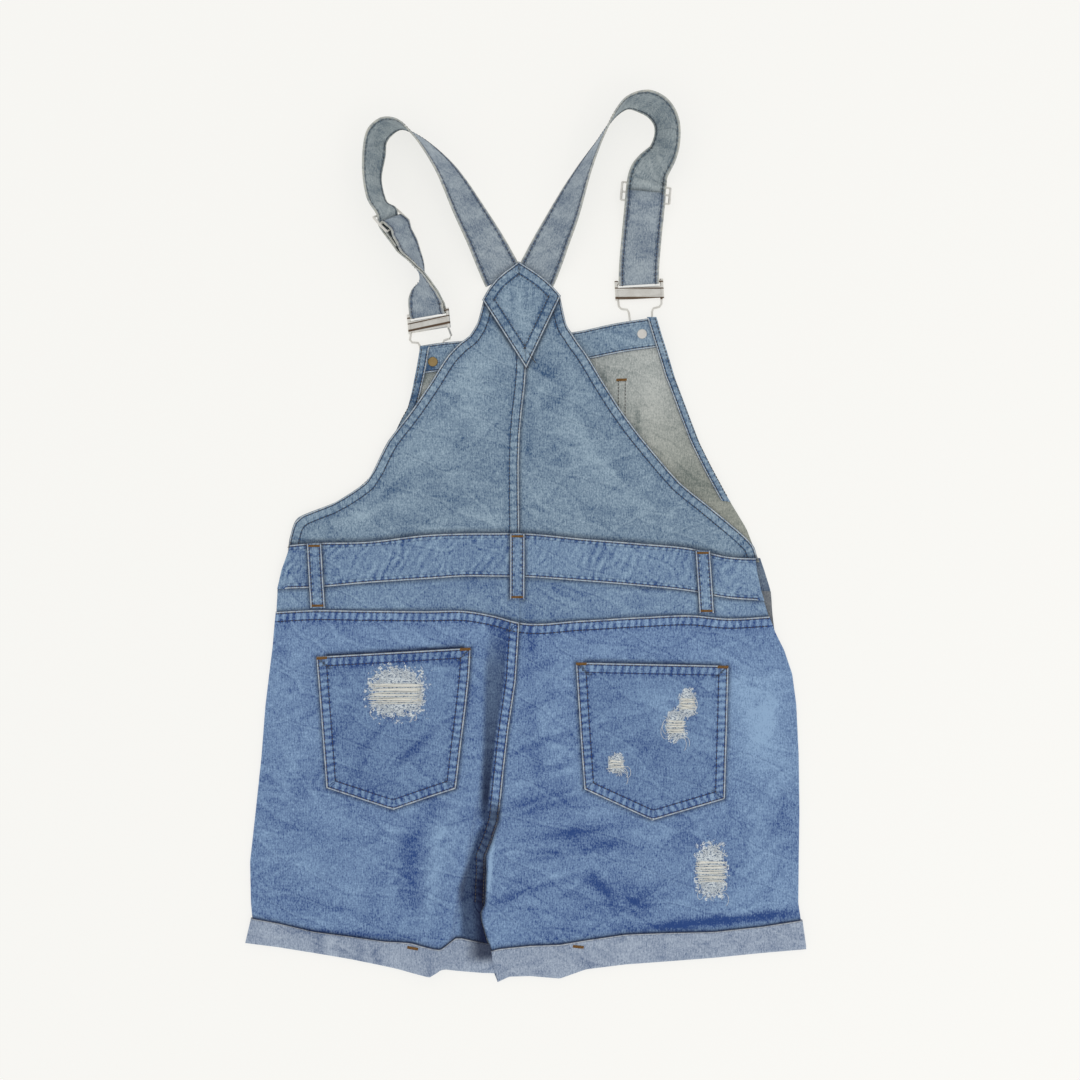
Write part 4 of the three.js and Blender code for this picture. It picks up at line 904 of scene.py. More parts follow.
def denim(name, dark, light, worn, wrong_dark, wrong_light, wash=0.0, foot_tint=None, torn=False,
          pucker=1.0):
    """A denim material, blue on its right side and pale on its wrong side, darker and yellower
    towards a piece's foot, with the white threads of a rip and the painted shadows beside other
    pieces."""
    material, n, shader = blank(name)
    fields = {
        "Place": n.attribute("cloth", "Vector"),
        "Seam": n.attribute("seam"),
        "Along": n.attribute("along"),
        # The cloth's wash together with its wear and its painted shade and highlight.
        "WashAndShade": n.math("ADD", n.attribute("high"), wash),
    }

    def side(dark_colour, light_colour):
        values = dict(fields, Dark=dark_colour, Light=light_colour, Worn=worn, Pucker=pucker)
        group = n.add("ShaderNodeGroup", node_tree=DENIM)
        for key, value in values.items():
            n.join(group.inputs[key], value)
        return group

    right, wrong = side(dark, light), side(wrong_dark, wrong_light)
    colour = n.mix(n.attribute("wrong"), right.outputs["Color"], wrong.outputs["Color"])
    if foot_tint:
        low, high, tint = foot_tint
        place = n.add("ShaderNodeSeparateXYZ", {"Vector": fields["Place"]})
        share = n.until(place.outputs[1], low, high)
        colour = n.mix(n.math("MULTIPLY", share, 0.8), colour, tint, "MULTIPLY")
    if torn:
        fuzz = n.noise(fields["Place"], 0.2, 3.0, (1, 1, 1), 0.7)
        share = n.step(n.math("MULTIPLY_ADD", fuzz, 2.0, n.attribute("torn")), 0.5, 0.6)
        threads = n.step(n.noise(fields["Place"], 0.55, 3.0, (0.8, 1.2, 1), 0.75), -0.12, 0.03)
        colour = n.mix(share, colour, n.mix(threads, srgb(70, 96, 132), srgb(228, 236, 240)))
    colour = n.mix(n.clamp(n.attribute("shade")), colour, srgb(44, 54, 84), "MULTIPLY")
    bump = n.add("ShaderNodeBump", {"Height": right.outputs["Height"], "Distance": MM, "Strength": 0.9})
    n.join(shader.inputs["Base Color"], colour)
    n.join(shader.inputs["Normal"], bump.outputs[0])
    shader.inputs["Roughness"].default_value = 0.92
    shader.inputs["Specular IOR Level"].default_value = 0.2
    shader.inputs["Sheen Weight"].default_value = 0.15
    shader.inputs["Sheen Roughness"].default_value = 0.5
    return material


def plain(name, dark, light, roughness, metallic=0.0, scale=400.0):
    """Thread or metal: two shades of a colour in fine noise, over a slight bump."""
    material, n, shader = blank(name)
    place = n.add("ShaderNodeTexCoord").outputs["Object"]
    level = n.noise(place, scale, 3.0)
    n.join(shader.inputs["Base Color"], n.mix(n.math("ADD", level, 0.5, clamp=True), dark, light))
    bump = n.add("ShaderNodeBump", {"Height": level, "Distance": 0.2 * MM, "Strength": 0.4})
    n.join(shader.inputs["Normal"], bump.outputs[0])
    shader.inputs["Roughness"].default_value = roughness
    shader.inputs["Metallic"].default_value = metallic
    return material


WORN = srgb(212, 222, 228)
WRONG = (srgb(126, 135, 146), srgb(198, 201, 200))
LEG = denim("leg_cloth", srgb(46, 77, 138), srgb(157, 188, 222), WORN, *WRONG, torn=True)
BIB = denim("bib_cloth", srgb(62, 93, 130), srgb(174, 197, 213), WORN, *WRONG, pucker=0.45)
YOKE = denim("yoke_cloth", srgb(52, 84, 138), srgb(164, 192, 216), WORN, *WRONG)
POCKET = denim("pocket_cloth", srgb(44, 74, 134), srgb(150, 181, 215), WORN, *WRONG, torn=True)
CUFF = denim("cuff_cloth", srgb(88, 108, 144), srgb(188, 201, 218), srgb(214, 220, 226),
             srgb(88, 108, 144), srgb(188, 201, 218), wash=0.12)
INSIDE = denim("inside_cloth", srgb(76, 100, 130), srgb(168, 189, 202), srgb(207, 207, 198),
               srgb(131, 141, 141), srgb(209, 213, 209), wash=0.1, foot_tint=(20, 180, srgb(218, 216, 204)))
STRAP = denim("strap_cloth", srgb(92, 110, 134), srgb(180, 192, 200), srgb(206, 206, 196),
              srgb(100, 118, 132), srgb(190, 200, 202), wash=0.08)
THREAD = plain("seam_thread", srgb(52, 52, 58), srgb(96, 88, 80), 0.8)
TACK_THREAD = plain("tack_thread", srgb(104, 76, 40), srgb(164, 120, 62), 0.8)
WHITE_THREAD = plain("weft_thread", srgb(248, 247, 238), srgb(255, 254, 248), 0.9)
FRAYED_THREAD = plain("frayed_thread", srgb(206, 218, 230), srgb(248, 250, 250), 0.9)
STEEL = plain("steel", srgb(196, 192, 184), srgb(250, 249, 245), 0.3, 0.5, 120.0)
BRASS = plain("brass", srgb(120, 96, 60), srgb(180, 156, 110), 0.35, 1.0, 120.0)


def banded(name, middle, way, bands):
    """Steel with brown bands where the light dies in its bars: band = 1 − step(|distance − at|),
    with the distance from the middle along a way, in mm."""
    material = plain(name, srgb(196, 192, 184), srgb(244, 243, 238), 0.3, 0.6, 120.0)
    tree = material.node_tree
    n = Nodes(tree)
    shader = tree.nodes["Principled BSDF"]
    place = n.add("ShaderNodeTexCoord").outputs["Object"]
    vectors = {0: place, 1: (way[0] / MM, way[1] / MM, 0)}
    reach = n.add("ShaderNodeVectorMath", vectors, operation="DOT_PRODUCT")
    distance = n.math("SUBTRACT", reach.outputs["Value"], middle[0] * way[0] + middle[1] * way[1])
    dark = 0.0
    for at, half in bands:
        away = n.math("ABSOLUTE", n.math("SUBTRACT", distance, at))
        dark = n.math("MAXIMUM", dark, n.until(away, half * 0.5, half))
    pale = shader.inputs["Base Color"].links[0].from_socket
    n.join(shader.inputs["Base Color"], n.mix(dark, pale, srgb(96, 76, 58)))
    return material


# Each buckle's steel, with its dark bands' places along the buckle and half their widths.
BUCKLES = {
    "left": banded("buckle_steel_left", (-92.5, 206.0), (-0.14, 0.99),
                   ((6.6, 0.9), (1.2, 0.7), (-5.2, 1.4))),
    "right": banded("buckle_steel_right", (108.5, 236.5), (0.0, 1.0),
                    ((8.6, 0.9), (2.2, 0.8), (-7.2, 1.5))),
}

# The sewing's stitches, and the closer ones of a bar tack.
STITCH_LENGTH, STITCH_GAP, STITCH_WIDTH, STITCH_HIGH = 2.7, 0.5, 0.75, 0.45
TACK_PITCH, TACK_WIDTH, TACK_HIGH = 0.55, 0.6, 0.5


def stitch_faces():
    """One stitch: two pointed ends and a four-sided middle, in points by their share along,
    across and up."""
    points = [[-0.5, 0, -0.1]]
    for along in (-0.3, 0.3):
        points += [[along, 0.5, 0], [along, 0, 0.6], [along, -0.5, 0], [along, 0, -0.4]]
    points.append([0.5, 0, -0.1])
    faces = []
    for k in range(4):
        a, b = 1 + k, 1 + (k + 1) % 4
        faces += [[0, b, a, a], [a, b, b + 4, a + 4], [9, a + 4, b + 4, b + 4]]
    return np.array(points), [list(dict.fromkeys(face)) for face in faces]


def stitch_mesh(name, centres, along, up, material=THREAD, length=STITCH_LENGTH,
                width=STITCH_WIDTH, high=STITCH_HIGH):
    """One object of many stitches, each at a centre with its own way along and up."""
    template, faces = stitch_faces()
    across = np.cross(up, along)
    across /= np.linalg.norm(across, axis=1)[:, None]
    scaled = template * [length, width, high]
    points = (centres[:, None] + scaled[None, :, :1] * along[:, None]
              + scaled[None, :, 1:2] * across[:, None] + scaled[None, :, 2:] * up[:, None])
    count = len(template)
    starts = range(0, len(centres) * count, count)
    all_faces = [[start + i for i in face] for start in starts for face in faces]
    return thread_object(name, points, all_faces, material)


def resampled(line, pitch, lead):
    """Points every pitch along a line of points, and its direction there."""
    line = np.asarray(line, float)
    steps = np.linalg.norm(np.diff(line, axis=0), axis=1)
    run = np.concatenate([[0], np.cumsum(steps)])
    at = np.arange(lead + pitch / 2, run[-1] - lead, pitch)
    place = lambda s: np.stack([np.interp(s, run, line[:, k]) for k in range(line.shape[1])], -1)
    ahead = place(np.minimum(at + 1, run[-1])) - place(np.maximum(at - 1, 0))
    return place(at), ahead / np.linalg.norm(ahead, axis=1)[:, None]


def offset(line, distance):
    """A line moved to its left by a distance, mitred at its corners."""
    line = np.asarray(line, float)
    run = np.diff(line, axis=0)
    run /= np.maximum(np.linalg.norm(run, axis=1), 1e-9)[:, None]
    before = np.vstack([run[:1], run])
    after = np.vstack([run, run[-1:]])
    normal = np.stack([-(before + after)[:, 1], (before + after)[:, 0]], -1)
    normal /= np.linalg.norm(normal, axis=1)[:, None]
    square = np.stack([-before[:, 1], before[:, 0]], -1)
    stretch = np.clip((normal * square).sum(1), 0.5, 1)
    return line + normal * (distance / stretch)[:, None]


def sewn(name, lines, top):
    """Stitches along lines in the plan, on a height function."""
    centres, ways = [], []
    for line in lines:
        places, way = resampled(line, STITCH_LENGTH + STITCH_GAP, 0.6)
        ahead, back = places + way, places - way
        z = top(places[:, 0], places[:, 1])
        slope = (top(ahead[:, 0], ahead[:, 1]) - top(back[:, 0], back[:, 1])) / 2
        centres.append(np.column_stack([places, z]))
        ways.append(np.column_stack([way, slope]))
    centres, ways = np.concatenate(centres), np.concatenate(ways)
    ways /= np.linalg.norm(ways, axis=1)[:, None]
    sides = np.column_stack([-ways[:, 1], ways[:, 0], np.zeros(len(ways))])
    up = np.cross(ways, sides)
    up *= np.sign(up[:, 2])[:, None]
    return stitch_mesh(name, centres, ways, up)


def bar_tack(name, x, y, angle, top, long=10.0, wide=3.2):
    """A bar tack: a block of close threads across its length, each a little slanted."""
    turn = np.radians(angle)
    run = np.array([np.cos(turn), np.sin(turn)])
    cross = np.array([-run[1], run[0]])
    count = int(long / TACK_PITCH)
    at = (np.arange(count) - (count - 1) / 2) * TACK_PITCH
    places = np.array([x, y]) + at[:, None] * run
    centres = np.column_stack([places, top(places[:, 0], places[:, 1]) + 0.25])
    ways = np.tile([*(cross + 0.12 * run), 0.0], (count, 1))
    up = np.tile([0.0, 0, 1], (count, 1))
    return stitch_mesh(name, centres, ways, up, TACK_THREAD, wide, TACK_WIDTH, TACK_HIGH)


# Each piece of cloth with the model's part that it stands for, how it is held, what it rests on
# and the pieces that go with it.
SHEETS = []


def declare(thing, node, held, rests_on, going=()):
    """Says what a piece of cloth stands for: hides that part of the model, ties the piece to the root
    and lists it in SHEETS.
    """
    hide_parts(node)
    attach(thing, "root")
    SHEETS.append((thing, node, held, rests_on, list(going)))


# The back bib.
ARMHOLES = table(
    "left_x left_y right_x right_y centre_y",
    [-225, -14, 221, -20, -6],
    [-223, 2, 217, -6, 0],
    [-215.5, 21.1, 205, 6.6, 12],
    [-178.8, 36.2, 174.7, 31.8, 38],
    [-148.8, 56.8, 145, 56, 62],
    [-130.2, 92.9, 109.3, 98.3, 100],
    [-106.6, 122.9, 90, 124.5, 132],
    [-88.4, 149.6, 71.8, 153, 162],
    [-80, 163.6, 64.5, 165.5, 176],
    [-72.1, 175.1, 57, 177.5, 190],
    [-61.8, 185.7, 50, 187, 201],
    [-52.1, 193.2, 44.9, 195, 212],
    [-44.8, 205.6, 39.1, 204.4, 226],
    [-39.4, 227.4, 33.3, 231.2, 250],
)
BIB_SEAM = table("y seam", [-20, -5.2], [6, -5.2], [104, -4.5], [162, 1.3], [264, -5.8])
bib_seam = curve(BIB_SEAM, "y", "seam")


def lap_over(distance):
    """1 over a lapped seam's allowance, 0 past its slope, by the distance from the seam."""
    return fall(SEAM_LAP + 0.5, SEAM_LAP + LAP_RISE, distance)


def bib_under(side):
    """The under face of a half of the back bib: the left one climbs over the right at the seam."""
    if side == "right":
        return lambda x, y: back_base(x, y)
    return lambda x, y: back_base(x, y) + (LAYER + SEAM_SLACK) * lap_over(bib_seam(y) - x)


def armhole(side, count):
    """The armhole as a line of points from the waist up, halfway between the table's straight
    lines and a smooth curve, and the height of the centre seam's point beside each."""
    rows = dict(ARMHOLES, row=np.arange(14.0))
    at = np.linspace(0, 13, count)
    smoothed = [curve(rows, "row", f"{side}_{axis}")(at) for axis in "xy"]
    straight = [np.interp(at, rows["row"], rows[f"{side}_{axis}"]) for axis in "xy"]
    edge = np.stack([mix(a, b, 0.5) for a, b in zip(smoothed, straight)], -1)
    return edge, reader(rows, "row", "centre_y")(at)


def bib_back(side):
    """Rows from the armhole to the centre seam: point = mix(armhole(v), seam(v), u)."""
    edge, centre = armhole(side, 110)
    seam = bib_seam(centre)
    inner = seam if side == "left" else seam - SEAM_LAP
    near = SEAM_STEPS if side == "left" else EDGE_STEPS
    drawn_for = 200
    width = np.hypot(edge[:, 0] - inner, edge[:, 1] - centre)[:, None]
    shares = squeezed(spaced(drawn_for, CELL, SEAM_STEPS, near), drawn_for, width)
    shares = np.clip(shares, 0, 1)
    x = mix(edge[:, :1], inner[:, None], shares)
    y = mix(edge[:, 1:], centre[:, None], shares)
    lines = [edge[::3]]
    if side == "left":
        lines.append(np.column_stack([seam, centre])[::6])
    top = lambda a, b: bib_under(side)(a, b) + CLOTH
    patch = np.array([DIAMOND["left"], DIAMOND["bottom"], DIAMOND["right"]])
    parts = [(drawn(waist_top, -230, 225), 0.6, 6.0), (patch, 0.6, 3.4)]
    if side == "right":
        parts.append((np.column_stack([seam, centre])[::6], 0.45, 2.6))
    piece = laid(f"cloth_bib_back_{side}", x, y, bib_under(side), BIB, lines, dark=shadow(*parts))
    return piece, lines, top


def squeezed(shares, length, width):
    """Shares made for a length, for rows of other widths: the places near both ends keep their
    distance in mm, and the rest is spread between them."""
    near = 12.0
    at = shares * length
    scale = np.minimum(1.0, width / (2.6 * near))
    low = np.minimum(at, near) * scale
    high = np.minimum(length - at, near) * scale
    middle = (at - near) / (length - 2 * near)
    between = mix(near * scale, width - near * scale, middle)
    placed = np.where(at <= near, low, np.where(length - at <= near, width - high, between))
    return placed / width


for side, turn in (("left", -1), ("right", 1)):
    piece, lines, top = bib_back(side)
    rows = [offset(lines[0], turn * d) for d in TWIN_ROWS]
    if side == "left":
        rows += [offset(lines[1], d) for d in LAPPED_ROWS]
    thread = sewn(f"stitches_bib_{side}", rows, lambda x, y, f=top: f(x, y) + 0.12)
    declare(piece, f"bib_back_{side}", "laid", ["cloth_bib_front"], [thread])


# The waistband.
def seam_at(y):
    """The centre seam: the bib's above the waistband and the legs' below it."""
    return np.where(y > 6, bib_seam(y), left_inner(y))


def centre_lift(x, y):
    """1 over the centre seam's allowance and 0 beside it."""
    return lap_over(seam_at(y) - x) * fall(0.5, LAP_RISE, x - seam_at(y))


def waist_under(x, y):
    """The waistband lies on one layer, and on two at the centre seam."""
    return back_base(x, y) + LAYER * (1 + centre_lift(x, y))


# Where a band's rows are read first, near its two ends.
BAND_ENDS = (-230.0, 225.0)


def band_grid(left, right, upper, lower, steps_down, steps_across):
    """point = (mix(left(y), right(y), u), mix(upper(x), lower(x), v)), each found from the other
    once, from the middle of the piece."""
    v = steps_down[:, None]
    y0, y1 = (mix(upper(np.array([end])), lower(np.array([end])), v) for end in BAND_ENDS)
    x = mix(left(y0), right(y1), steps_across[None, :])
    return x, mix(upper(x), lower(x), v)


down = spaced(WAISTBAND, 2.2, ROW_STEPS, ROW_STEPS)
across = spaced(WAIST_LENGTH, CELL)
x, y = band_grid(left_side, flap_side, waist_top, waist_bottom, down, across)
edge_x = np.linspace(-226, 220, 90)
waist_lines = [np.column_stack([edge_x, line(edge_x)]) for line in (waist_top, waist_bottom)]
loop_sides = [
    (np.array([[top_x + d, top_y + 2], [foot_x + d, foot_y]]), 0.65, 3.0)
    for top_x, top_y, foot_x, foot_y in LOOPS.values()
    for d in (-LOOP_WIDTH / 2, LOOP_WIDTH / 2)
]


def band_ripples(x, y):
    """Slanted puckers over the whole band, about 8 mm apart: sin(2π·(x − 0.45·y) / 8), with
    noise in their places and in their strength."""
    shift = 11 * noise(x / 17, y / 16, 31)
    strength = 0.5 * np.maximum(noise(x / 9 + 3, y / 9, 32) - 0.3, 0)
    return strength * np.sin(2 * np.pi * (x - 0.45 * y + shift) / 8)


waist = laid("cloth_waistband_back", x, y, waist_under, YOKE, waist_lines, dark=shadow(*loop_sides),
             edges="one row", ripples=band_ripples)
waist_threads = sewn(
    "stitches_waistband",
    [offset(waist_lines[0], -TWIN_ROWS[0]), offset(waist_lines[1], TWIN_ROWS[0])],
    lambda x, y: waist_under(x, y) + CLOTH + 0.12,
)
declare(waist, "waistband_back", "laid", ["cloth_bib_back_left"], [waist_threads])


# The yokes.
def yoke_back(side):
    """Half a yoke: a band from under the waistband to under the legs' top seam. The left half
    climbs over the right at the centre seam."""
    upper = lambda x: waist_bottom(x) + SEAM_LAP
    lower = lambda x: yoke_line(x) - SEAM_LAP
    if side == "left":
        left, right = (lambda y: left_side(y) + 0.4), left_inner
        lift = lambda x, y: LAYER * lap_over(left_inner(y) - x)
    else:
        left, right = (lambda y: left_inner(y) - SEAM_LAP), (lambda y: flap_side(y) - 0.4)
        lift = lambda x, y: 0 * x
    x, y = band_grid(left, right, upper, lower, spaced(45, CELL), spaced(230, CELL))
    under = lambda a, b: back_base(a, b) + lift(a, b)
    edges = [(drawn(waist_bottom, -236, 234), 0.5, 3.5), (drawn(yoke_line, -236, 234), 0.6, 3.2)]
    piece = laid(f"cloth_yoke_back_{side}", x, y, under, YOKE, dark=shadow(*edges, *loop_sides))
    return piece, under


for side in ("left", "right"):
    piece, under = yoke_back(side)
    declare(piece, f"yoke_back_{side}", "laid", [f"cloth_leg_front_{side}"])


# The legs and cuffs.
def yoke_lap(x, y):
    """1 where the leg lies over the yoke's foot and 0 below it."""
    return smooth(yoke_line(x) - SEAM_LAP - LAP_RISE, yoke_line(x) - SEAM_LAP - 0.5, y)


def leg_lift(side, x, y):
    """How far the back leg is raised by the yoke under it and by the other leg at the seam."""
    over = yoke_lap(x, y)
    if side == "right":
        return LAYER * over * (1 + fall(0.5, LAP_RISE, x - left_inner(y)))
    lapped = lap_over(left_inner(y) - x) * smooth(-316, -301, y)
    return LAYER * (over + lapped + over * lapped)


def leg_under(side, x, y):
    """The under face of a back leg."""
    return back_base(x, y, hem_lift(side, x, y)) + leg_lift(side, x, y)


def front_base(side, x, y):
    """The outer face of a leg's front, which lies on the floor but for the band and the cuff."""
    waist = smooth(waist_bottom(x) - LAP_RISE, waist_bottom(x) - 0.5, y)
    return (LAYER + CUFF_SLACK) * hem_lift(side, x, y) + LAYER * waist + RIDGE_SHARED * ridge(x, y)


def mid_height(hem):
    """The middle of a leg's two layers: plain where hem is 0, and under the cuff where it is 1."""
    return mix((BACK_LEVEL + CLOTH) / 2, (LAYER + BACK_LEVEL + HEM_BACK_LIFT + CLOTH) / 2, hem)


# The angles of the fold at a leg's side, and the rise at each.
FOLD = np.radians(np.linspace(0, 90, 8))
RISE = np.sin(FOLD)
# Where a leg's edges are looked for first, and the widths that set how many columns it has.
LEG_SIDE, LEG_INNER = 255.0, -30.0
LEG_WIDTH, LEG_WIDTH_TO_RIDGE = 260, 150


def leg_columns(side, y_at, face, grow, cell):
    """Where a leg's columns stand in each row: places on the outer and the inner face, the place
    that sets the height, the share of a fold and the rise in it, each as a grid."""
    edge_of = left_side if side == "left" else (flap_side if face == "back" else right_side)
    if face == "back":
        inner_of = right_inner if side == "right" else left_inner
    else:
        shift = 1.5 if side == "right" else 2.5
        inner_of = lambda y: right_inner(y) - shift
    toward = 1 if side == "left" else -1
    outer_x = edge_of(y_at(-LEG_SIDE * toward))
    inner_x = inner_of(y_at(LEG_INNER))
    for _ in range(3):
        inner_x = inner_of(y_at(inner_x))
    outer_fold = fall(-100, -84, y_at(outer_x))
    inner_fold = fall(-316, -301, y_at(inner_x))
    plain_steps = SIDE_ROUND * (1 - np.cos(FOLD))
    lap_places = [0, SEAM_LAP + 0.5, SEAM_LAP + 3, SEAM_LAP + LAP_RISE]
    lap_steps = np.interp(np.linspace(0, 1, 8), np.linspace(0, 1, 4), lap_places)

    def sweep(edge, way, fold, steps):
        flat = edge + way * SIDE_ROUND
        straight = edge - way * grow + way * steps
        reach = lambda grown: flat - way * (SIDE_ROUND + grown) * np.cos(FOLD)
        return [mix(straight, reach(grow), fold), mix(straight, reach(grow - CLOTH), fold),
                mix(straight, flat + 0 * straight, fold), fold + 0 * straight, RISE + 0 * straight]

    outer = sweep(outer_x, toward, outer_fold, plain_steps)
    steps = lap_steps if side == "left" and face == "back" else plain_steps
    inner = [part[:, ::-1] for part in sweep(inner_x, -toward, inner_fold, steps)]
    start, end = outer[2][:, -1:], inner[2][:, :1]
    if side == "right":
        middle = mix(start, end, np.linspace(0, 1, int(LEG_WIDTH / cell))[1:-1])
    else:
        crest = crest_line(y_at(-60.0))
        begin = crest - RIDGE_GENTLE
        top = np.minimum(crest + RIDGE_STEEP, end - 1)
        middle = np.concatenate([
            mix(start, begin, np.linspace(0, 1, int(LEG_WIDTH_TO_RIDGE / cell))[1:]),
            mix(begin, crest, np.linspace(0, 1, int(RIDGE_GENTLE / cell) + 4)[1:]),
            mix(crest, top, np.linspace(0, 1, 7)[1:]),
            mix(top, end, np.linspace(0, 1, 6)[1:-1]),
        ], axis=1)
    flat = [middle, middle, middle, 0 * middle, 1 + 0 * middle]
    return [np.concatenate(three, axis=1) for three in zip(outer, flat, inner)]


def leg_sheet(side, face, y_at, inside, outside, grow=0.0, cell=CELL):
    """The two faces of a leg panel or a cuff half. A fold is a quarter ellipse between the middle
    of the leg and its flat: z = middle + (flat − middle) · sin(angle)."""
    sign = 1 if face == "back" else -1
    out, within, level, fold, rise = leg_columns(side, y_at, face, grow, cell)

    def make(x, height):
        flat_z = height(level, y_at(level))
        middle = mid_height(hem_lift(side, level, y_at(level)))
        folded = middle + (flat_z - middle) * rise
        apart = sign * np.maximum(sign * (folded - middle), GAP / 2) + middle
        return np.stack([x, y_at(x), mix(flat_z, apart, fold)], -1)

    return make(out, outside), make(within, inside)


def dense(rows, names, cell, spans):
    """The rows of a table of weights, with more between them, so that each is about a cell."""
    columns = np.stack([rows[name] for name in names], -1)
    steps = [np.linspace(0, 1, max(1, int(round(span / cell))), endpoint=False) for span in spans]
    filled = [mix(columns[i], columns[i + 1], step[:, None]) for i, step in enumerate(steps)]
    return np.concatenate(filled + [columns[-1:]])


# The rows of points down a leg's back and front panel: the weight of each line across the leg
# in the row, and an offset in mm. The spans are the distances between the rows.
LEG_ROWS = table(
    "yoke cuff hem offset",
    [1, 0, 0, 0],
    [1, 0, 0, -SEAM_LAP - 0.5],
    [1, 0, 0, -SEAM_LAP - 3],
    [1, 0, 0, -SEAM_LAP - LAP_RISE],
    [0.87, 0.13, 0, 0],
    [0, 1, 0, HEM_RISE],
    [0, 1, 0, 0],
    [0, 0, 1, 0],
)
LEG_SPANS = (9.5, 2.5, 3, 24, 256, 12, 24)
FRONT_ROWS = table(
    "waist yoke cuff hem offset",
    [1, 0, 0, 0, SEAM_LAP],
    [1, 0, 0, 0, -0.5],
    [1, 0, 0, 0, -LAP_RISE],
    [0, 0.8, 0.2, 0, 0],
    [0, 0, 1, 0, HEM_RISE],
    [0, 0, 1, 0, 0],
    [0, 0, 0, 1, 0],
)
FRONT_SPANS = (9.5, 5.5, 80, 230, 12, 24)
FRONT_CELL = 5.0


def cuff_edge(side, which):
    """A cuff's top or bottom edge as a function of x."""
    return reader(CUFFS[side], "x", which)


def leg_rows(side, weights, waist=None):
    """y = yoke · yoke line + cuff · cuff's top + hem · leg's foot + offset + waist · waistband's
    foot, with the weights of each row."""
    top, bottom = cuff_edge(side, "top"), cuff_edge(side, "bottom")
    yoke, cuff, hem, more = np.split(weights, 4, axis=1)

    def y_at(x):
        band = 0 if waist is None else waist * waist_bottom(x)
        return yoke * yoke_line(x) + cuff * top(x) + hem * (bottom(x) + HEM_INSET) + more + band

    return y_at


def centre_line(y_from, y_to):
    """The legs' centre seam as a line of points."""
    y = np.linspace(y_from, y_to, 60)
    return np.column_stack([left_inner(y), y])


def leg_shadow(side):
    """The shadows on a back leg: along the cuff's top, round the pocket and in its mouth, and on
    the left leg also the hollow beside its fold, on the right one the centre seam."""
    opening = POCKETS[side]
    mouth = np.array([
        [opening["x0"][0] + 10, opening["y0"][0] + 0.4],
        [opening["x1"][0] - 8, opening["y1"][0]],
    ])
    parts = [
        (drawn(cuff_edge(side, "top"), -268, 268, 160), 0.85, 3.2),
        (pocket_line(side), 0.5, 3.2),
        (mouth, 0.95 if side == "left" else 0.75, 4.2),
    ]
    if side == "right":
        return shadow(*parts, (centre_line(-78, -420), 0.5, 3.0))
    around = shadow(*parts)
    return lambda x, y: np.maximum(trough(x, y), around(x, y))


for side in ("left", "right"):
    ends = (-236, -5.2) if side == "left" else (-5.2, 231)
    lines = [drawn(yoke_line, *ends, 60)]
    if side == "left":
        lines.append(centre_line(-78, -345))
    weights = dense(LEG_ROWS, ("yoke", "cuff", "hem", "offset"), CELL, LEG_SPANS)
    y_at = leg_rows(side, weights)
    under = lambda x, y, s=side: leg_under(s, x, y)
    over = lambda x, y, f=under: f(x, y) + CLOTH
    outer, inner = leg_sheet(side, "back", y_at, under, over)
    piece = shell(f"cloth_leg_back_{side}", outer, inner, LEG, lines, dark=leg_shadow(side))
    rows = [offset(lines[0], -d) for d in TWIN_ROWS]
    if side == "left":
        rows += [offset(lines[1], -d) for d in LAPPED_ROWS]
    thread = sewn(f"stitches_leg_{side}", rows, lambda x, y, f=over: f(x, y) + 0.1)
    declare(piece, f"leg_back_{side}", "laid", [f"cloth_leg_front_{side}"], [thread])
    front = dense(FRONT_ROWS, ("yoke", "cuff", "hem", "offset", "waist"), FRONT_CELL, FRONT_SPANS)
    y_front = leg_rows(side, front[:, :4], front[:, 4:])
    low = lambda x, y, s=side: front_base(s, x, y)
    high = lambda x, y, f=low: f(x, y) + CLOTH
    outer, inner = leg_sheet(side, "front", y_front, high, low, cell=FRONT_CELL)
    underlap = lambda x, y: 0.5 * smooth(200, 210, x) * smooth(-125, -105, y)
    piece = shell(f"cloth_leg_front_{side}", outer, inner, LEG, dark=underlap)
    declare(piece, f"leg_front_{side}", "laid", ["floor"])


def cuff_sheet(side, face):
    """A cuff half: down the outside of the leg, then round its foot to meet the other half."""
    top, bottom = cuff_edge(side, "top"), cuff_edge(side, "bottom")
    sign = 1 if face == "back" else -1
    step = LAYER + CUFF_SLACK
    if face == "back":
        own = lambda x, y: leg_under(side, x, y) + step
        faces = (0.0, CLOTH)
    else:
        own = lambda x, y: front_base(side, x, y) - step
        faces = (CLOTH, 0.0)
    straight = spaced(22, 2.2, EDGE_STEPS, ())
    angles = np.radians(np.linspace(0, 90, 7))[1:]
    down = np.concatenate([straight, np.ones(len(angles))])[:, None]
    turn = np.concatenate([np.zeros(len(straight)), angles])[:, None]
    foot = 4.0

    def rows(round_by):
        reach = lambda x: bottom(x) + foot
        return lambda x: mix(top(x), reach(x), down) - (foot - round_by) * np.sin(turn)

    def height(which):
        def at(x, y):
            flat = own(x, y) + faces[which]
            middle = mid_height(1.0) + ridge(x, y) * (1 + RIDGE_SHARED) / 2 + sign * GAP / 2
            return middle + (flat - middle) * np.cos(turn)

        return at

    out, _ = leg_sheet(side, face, rows(0.0), height(1), height(1), LAYER)
    _, within = leg_sheet(side, face, rows(CLOTH), height(0), height(0), LAYER)
    return out, within


def cuff_hollow(x, y):
    """The left cuff is in shadow where it runs in under the right one."""
    return 0.9 * smooth(-60, -42, x) * smooth(-404, -392, y)


